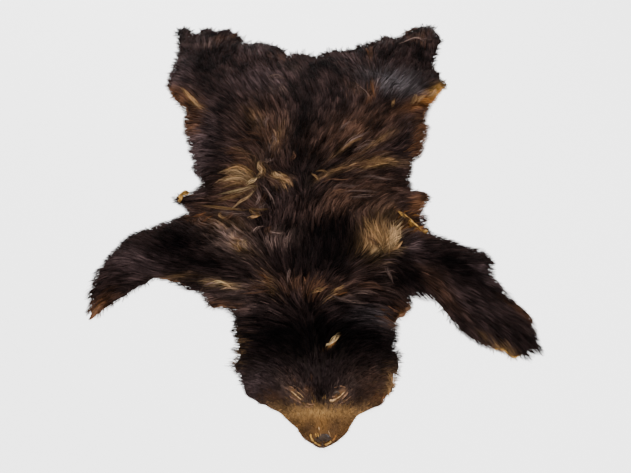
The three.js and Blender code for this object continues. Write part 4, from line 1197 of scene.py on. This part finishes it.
# %% Dried edges that curl up
LIP_STEPS, LIP_THICK = 26, 0.14
LIP_LINE = np.array([(-1.5, 0.10), (-0.8, 0.06), (0.0, 0.06), (0.6, 0.14), (0.95, 0.42), (0.92, 0.8),
                     (0.62, 1.02), (0.25, 0.98), (0.06, 0.78)])


def thickened(line, thick):
    """A closed section: the line moved half the thickness to one side, and back along the other."""
    slope = np.gradient(line, axis=0)
    normal = np.stack([-slope[:, 1], slope[:, 0]], axis=1) / np.linalg.norm(slope, axis=1)[:, None]
    return np.concatenate([line + normal * thick / 2, (line - normal * thick / 2)[::-1]])


LIPS = [  # points (x, y, z) with the outside on the left of the way, size, colour, all in mm
    ([(458, 396, 3), (450, 358, 3), (412, 326, 4)], 3.5, AMBER),
    ([(390, 306, 3), (350, 294, 4), (300, 282, 5)], 3, RUST),
    ([(-370, 282, 4), (-402, 298, 4), (-440, 330, 3)], 3, RUST),
    ([(252, -130, 18), (276, -152, 15), (296, -174, 11)], 4.4, STRAW),
    ([(272, -154, 12), (296, -176, 10), (320, -198, 6)], 5.2, STRAW),
    ([(-305, -345, 3), (-345, -342, 3), (-385, -338, 3)], 2.4, RUST),
    ([(508, -560, 3), (478, -550, 3), (448, -526, 3)], 3.5, STRAW),
    ([(505, -408, 3), (533, -430, 3), (552, -462, 3)], 2.2, BROWN),
    ([(256, -404, 4), (244, -434, 4), (218, -462, 4)], 3.2, RUST),
    ([(-184, -426, 4), (-214, -422, 4), (-240, -424, 4)], 3, RUST),
    ([(-366, -84, 6), (-369, -72, 9), (-360, -62, 12), (-344, -61, 12)], 5.5, STRAW),
    ([(316, -60, 4), (334, -84, 4), (326, -118, 4)], 3, RUST),
    # the last lip, on the rolled right hind paw, is in the violet colour: a painted highlight along the top
    # of the roll
    ([(340, 688, 8), (396, 716, 9), (436, 706, 7)], 3, VIOLET_SHEEN),
]


def to_edge(path, inset):
    """Moves the low points of a path to the line inset inside the outline, in three Newton steps."""
    gy, gx = np.gradient(depth, STEP)
    low = path[:, 2] < 7 * MM
    for _ in range(3):
        x, y = path[:, 0], path[:, 1]
        slope = np.stack([at(gx, x, y), at(gy, x, y)], axis=1)
        slope /= np.maximum(np.linalg.norm(slope, axis=1, keepdims=True), 0.3)
        path[:, :2] += np.where(low, inset - at(depth, x, y), 0)[:, None] * slope * 0.8
    return path


def lip(points, size, colour):
    """The C section along the edge, smaller at both ends as sqrt(sin); size and colour ripple slowly."""
    path = to_edge(spline(np.array(points) * MM, LIP_STEPS), (2 + size) * MM)
    t = np.linspace(0, 1, LIP_STEPS)
    wave = 1 + 0.22 * ripple(path[:, 0], path[:, 1], 0.03, 41)
    sizes = size * MM * (0.25 + 0.75 * np.sqrt(np.sin(np.pi * np.clip(t, 0.02, 0.98)))) * wave
    solid, faces = swept(path, thickened(LIP_LINE, LIP_THICK), sizes)
    share = np.clip(0.75 + 0.35 * ripple(solid[:, 0], solid[:, 1] + solid[:, 2], 0.02, 43), 0.15, 1.3)
    return solid, faces, colour[None] * share[:, None]


points, faces, colour = joined([lip(*row) for row in LIPS])
edges_piece = as_object("dried_edges", points, faces, uv=points[faces.ravel()][:, :2], colour=colour,
                        finish=dried_material)
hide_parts("hide")
print("dried edges:", len(LIPS), "lips,", len(faces), "triangles")

# %% [markdown]
# A flattened head skin keeps its openings. The eyes are closed slits between wrinkled lids, and the
# nose pad has dried grey-black with shrunken yellow rims round the nostrils. They are small, so a few
# round tapering ridges along short paths, laid on the leather, give their folds.

# %% Ridges of the eyes, the nose and the tear in the neck
ROUND = np.stack([np.cos(np.arange(8) * np.pi / 4), np.sin(np.arange(8) * np.pi / 4)], axis=1)
LID, PALE, PINK = paint(138, 100, 78), paint(232, 184, 130), paint(186, 138, 104)
# the near-black slit colour is painted shade in the gaps of the eye slits and in the nostrils
SLIT_SHADE, PAD = paint(8, 6, 6), paint(74, 70, 66)
RIDGE_STEPS = 18
RIDGES = [  # points (x, y) in mm, height above the leather, half width, colour
    ([(-52, -621), (-43, -625), (-34, -630)], 1.0, 2.0, LID),
    ([(-40, -638), (-26, -648), (-12, -656)], 1.0, 2.2, LID),
    ([(-35, -629), (-24, -638), (-12, -648)], 2.4, 1.6, PALE),
    ([(-30, -628), (-21, -636), (-12, -644)], 2.0, 1.0, SLIT_SHADE),
    ([(-22, -630), (-15, -635), (-7, -643)], 2.4, 1.0, PALE),
    ([(-30, -616), (-18, -622), (-6, -634)], 1.0, 1.9, LID),
    ([(-14, -651), (-5, -652), (4, -651)], 1.8, 1.6, SLIT_SHADE),
    ([(0, -656), (8, -659), (16, -658)], 1.2, 1.6, PINK),
    ([(-4, -662), (6, -665), (14, -664)], 1.0, 1.2, PINK), ([(-6, -623), (4, -628)], 1.0, 2.2, LID),
    ([(-40, -618), (-28, -622)], 1.2, 1.2, PINK),
    ([(51, -651), (59, -650), (67, -646)], 2.4, 3.4, PALE),
    ([(64, -648), (76, -640), (86, -630)], 2.4, 1.5, PALE),
    ([(62, -634), (68, -630), (74, -632)], 1.4, 2.8, PAD), ([(68, -638), (76, -632)], 2.2, 1.3, SLIT_SHADE),
    ([(56, -642), (64, -640)], 1.4, 1.8, PINK), ([(62, -621), (76, -617), (90, -620)], 1.4, 1.5, PINK),
    ([(96, -626), (90, -636), (80, -646)], 1.6, 2.2, PINK),
    ([(100, -640), (88, -650), (74, -657)], 1.0, 1.8, LID),
    ([(104, -622), (100, -632)], 0.8, 1.6, LID),
    ([(9, -720), (11, -729), (17, -737)], 1.8, 2.4, STRAW),
    ([(17, -737), (24, -741), (31, -744)], 2.2, 2.2, STRAW),
    ([(66, -721), (62, -729), (56, -735)], 1.4, 1.8, AMBER),
    ([(54, -735), (47, -740), (39, -743)], 2.2, 2.4, STRAW),
    ([(35, -735), (35, -748)], 3.4, 1.5, SLIT_SHADE), ([(18, -730), (24, -734), (32, -738)], 3.4, 2.0, SLIT_SHADE),
    ([(55, -730), (47, -734), (39, -738)], 3.4, 1.7, SLIT_SHADE), ([(20, -720), (22, -728)], 2.2, 1.2, STRAW),
    ([(25, -720), (27, -728)], 2.2, 1.2, STRAW), ([(31, -720), (31, -726)], 2.2, 1.1, GOLD),
    ([(27, -706), (28, -715)], 1.2, 1.4, PALE), ([(48, -714), (52, -726)], 1.2, 0.9, PALE),
]


def ridge(points, rise, half, colour):
    """A round section on the leather along a spline; its size falls to a quarter at both ends."""
    flat = spline(np.array(points) * MM, RIDGE_STEPS)
    z = at(leather, flat[:, 0], flat[:, 1]) + (rise - 0.4 * half) * MM
    path = np.concatenate([flat, z[:, None]], axis=1)
    t = np.linspace(0, 1, RIDGE_STEPS)
    size = half * MM * (0.25 + 0.75 * np.sin(np.pi * t) ** 0.6)
    size = size * (1 + 0.15 * ripple(path[:, 0], path[:, 1], 0.012, 47))
    solid, faces = swept(path, ROUND * (1, 0.8), size)
    share = np.clip(0.9 + 0.25 * ripple(solid[:, 0], solid[:, 1], 0.01, 48), 0.4, 1.4)
    return solid, faces, colour[None] * share[:, None]


points, faces, colour = joined([ridge(*row) for row in RIDGES])
ridges = as_object("eyelids_and_nostrils", points, faces, uv=points[faces.ravel()][:, :2], colour=colour,
                   finish=dried_material)
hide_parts("hide")
print("ridges:", len(RIDGES), "with", len(faces), "triangles")

# %% [markdown]
# The nose pad is a low dark cushion, the healed tear in the neck shows as two pale scars, and the
# tip of the left paw has dried to a brown tag. Each one is a lens on the leather or in the coat. A
# squashed sphere would look like a button, so the rim wavers and the top has low bumps.

# %% Nose pad, neck tear and paw tag


def dome(centre, turn, long, wide, rise, base, colour, seed):
    """A lens: height (1 - r^2)^0.6 over an oval whose rim wavers; a flat copy under it closes it."""
    r, a = np.meshgrid(np.linspace(0.04, 1, 9), np.linspace(0, 2 * np.pi, 33)[:-1], indexing="ij")
    waver = 1 + 0.08 * np.sin(3 * a + seed) + 0.06 * np.sin(5 * a + 2 * seed) + 0.04 * np.sin(9 * a)
    u, v = r * waver * long * np.cos(a), r * waver * wide * np.sin(a)
    c, s = math.cos(math.radians(turn)), math.sin(math.radians(turn))
    x, y = (centre[0] + u * c - v * s) * MM, (centre[1] + u * s + v * c) * MM
    height = rise * (1 - r ** 2) ** 0.6 * (1 + 0.2 * ripple(x, y, 0.012, seed))
    z = base(x, y) + height * MM
    upper = np.stack([x, y, z], axis=-1).reshape(-1, 3)
    lower = np.stack([x, y, z - (height + 1.2) * MM], axis=-1).reshape(-1, 3)
    rings, steps = x.shape
    k = np.arange(rings * steps).reshape(rings, steps)
    near, far = k[:-1], k[1:]
    quads = np.stack([near, far, np.roll(far, -1, 1), np.roll(near, -1, 1)], axis=-1).reshape(-1, 4)
    top_faces = np.concatenate([quads[:, [0, 1, 2]], quads[:, [0, 2, 3]]])
    hub = np.stack([k[0] * 0 + 2 * k.size, k[0], np.roll(k[0], -1)], axis=1)
    n = k.size
    under = np.concatenate([top_faces[:, ::-1] + n, np.stack([k[0] * 0 + 2 * n + 1, np.roll(k[0], -1) + n,
                                                              k[0] + n], axis=1)])
    rim = k[-1]
    wall = np.concatenate([np.stack([rim, rim + n, np.roll(rim, -1) + n], axis=1),
                           np.stack([rim, np.roll(rim, -1) + n, np.roll(rim, -1)], axis=1)])
    points = np.concatenate([upper, lower, upper[:steps].mean(0)[None], lower[:steps].mean(0)[None]])
    share = np.clip(0.95 + 0.25 * ripple(points[:, 0], points[:, 1], 0.012, seed + 1), 0.4, 1.4)
    return points, np.concatenate([top_faces, hub, under, wall]), colour[None] * share[:, None]


def on_leather(x, y):
    """Height of a patch that lies on the bare leather."""
    return at(leather, x, y) + 0.6 * MM


def on_coat(x, y):
    """Height of a patch that lies sunk between the hairs."""
    return at(top, x, y) - 7 * MM


points, faces, colour = joined([  # centre, turn, long, wide, rise, on what, colour, seed
    dome((38, -729), 0, 15, 7.5, 2.2, on_leather, paint(36, 34, 33), 3),
    # the small grey lens on the nose pad is a painted glint
    dome((46, -725), -35, 6, 3.0, 3.0, on_leather, paint(66, 68, 72), 4),
    dome((59, -515), 40, 9, 2.4, 1.8, on_coat, PALE, 5),
    dome((50, -521), 24, 7, 2.4, 2.0, on_coat, CREAM, 8),
    dome((-527, -425), 60, 30, 7, 4.0, on_leather, paint(104, 62, 32), 9)])
patches = as_object("nose_and_bare_patches", points, faces, uv=points[faces.ravel()][:, :2], colour=colour,
                    finish=dried_material)
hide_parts("hide")
print("nose pad and patches:", len(faces), "triangles")

# %% [markdown]
# The rug lies on a plain pale floor. A dark coat swallows light, so the floor gives off a little of
# its own and stays nearly white while the lights are set for the fur. A large soft light from
# behind runs along the hair and raises its sheen, and a weaker one fills the front.

# %% Floor and light
FLOOR_EDGE, FLOOR_GLOW, SKY = 4.0, 2.4, 0.6
floor = bpy.data.objects.new("floor", bpy.data.meshes.new("floor"))
square = [(x * FLOOR_EDGE, y * FLOOR_EDGE, 0) for x, y in ((-1, -1), (1, -1), (1, 1), (-1, 1))]
floor.data.from_pydata(square, [], [(0, 1, 2, 3)])
bpy.context.scene.collection.objects.link(floor)
floor_finish = Finish("pale_floor")
floor.data.materials.append(floor_finish.done(Base_Color=(0.9, 0.9, 0.9, 1), Roughness=0.9,
                                              Emission_Color=(1, 1, 1, 1), Emission_Strength=FLOOR_GLOW))

world = bpy.data.worlds.new("studio")
bpy.context.scene.world = world
world.use_nodes = True
world.node_tree.nodes["Background"].inputs["Color"].default_value = (1, 1, 1, 1)
world.node_tree.nodes["Background"].inputs["Strength"].default_value = SKY


def soft_light(name, place, aim, size, power):
    """A square area light at place that looks at aim."""
    lamp = bpy.data.lights.new(name, "AREA")
    lamp.size, lamp.energy = size, power
    holder = bpy.data.objects.new(name, lamp)
    bpy.context.scene.collection.objects.link(holder)
    holder.location = place
    holder.rotation_euler = (Vector(aim) - Vector(place)).to_track_quat("-Z", "Y").to_euler()


soft_light("rear_window", (-0.6, 2.2, 2.2), (0, 0, 0), 1.4, 110)
soft_light("front_fill", (0.8, -1.2, 2.6), (0, 0, 0), 1.4, 50)
print("floor and lights are set")

# %% [markdown]
# The camera stands before the nose, at chest height, and looks down at the rug. Its place, its tilt
# and its focal length, counted in pixels of the frame, come from the perspective of the photograph:
# the rear of the rug is drawn narrower than the same width would be at the head.

# %% Camera
FOCAL_PIXELS, FRAME_PIXELS, LOOKS_DOWN = 500, 631, 57
lens = bpy.data.cameras.new("camera")
lens.sensor_width, lens.lens = 36, 36 * FOCAL_PIXELS / FRAME_PIXELS
camera = bpy.data.objects.new("camera", lens)
bpy.context.scene.collection.objects.link(camera)
camera.location = (0.020, -0.953, 1.155)
camera.rotation_euler = (math.radians(90 - LOOKS_DOWN), 0, 0)
bpy.context.scene.camera = camera
print("camera:", round(lens.lens, 2), "mm, looks down at", LOOKS_DOWN, "degrees")
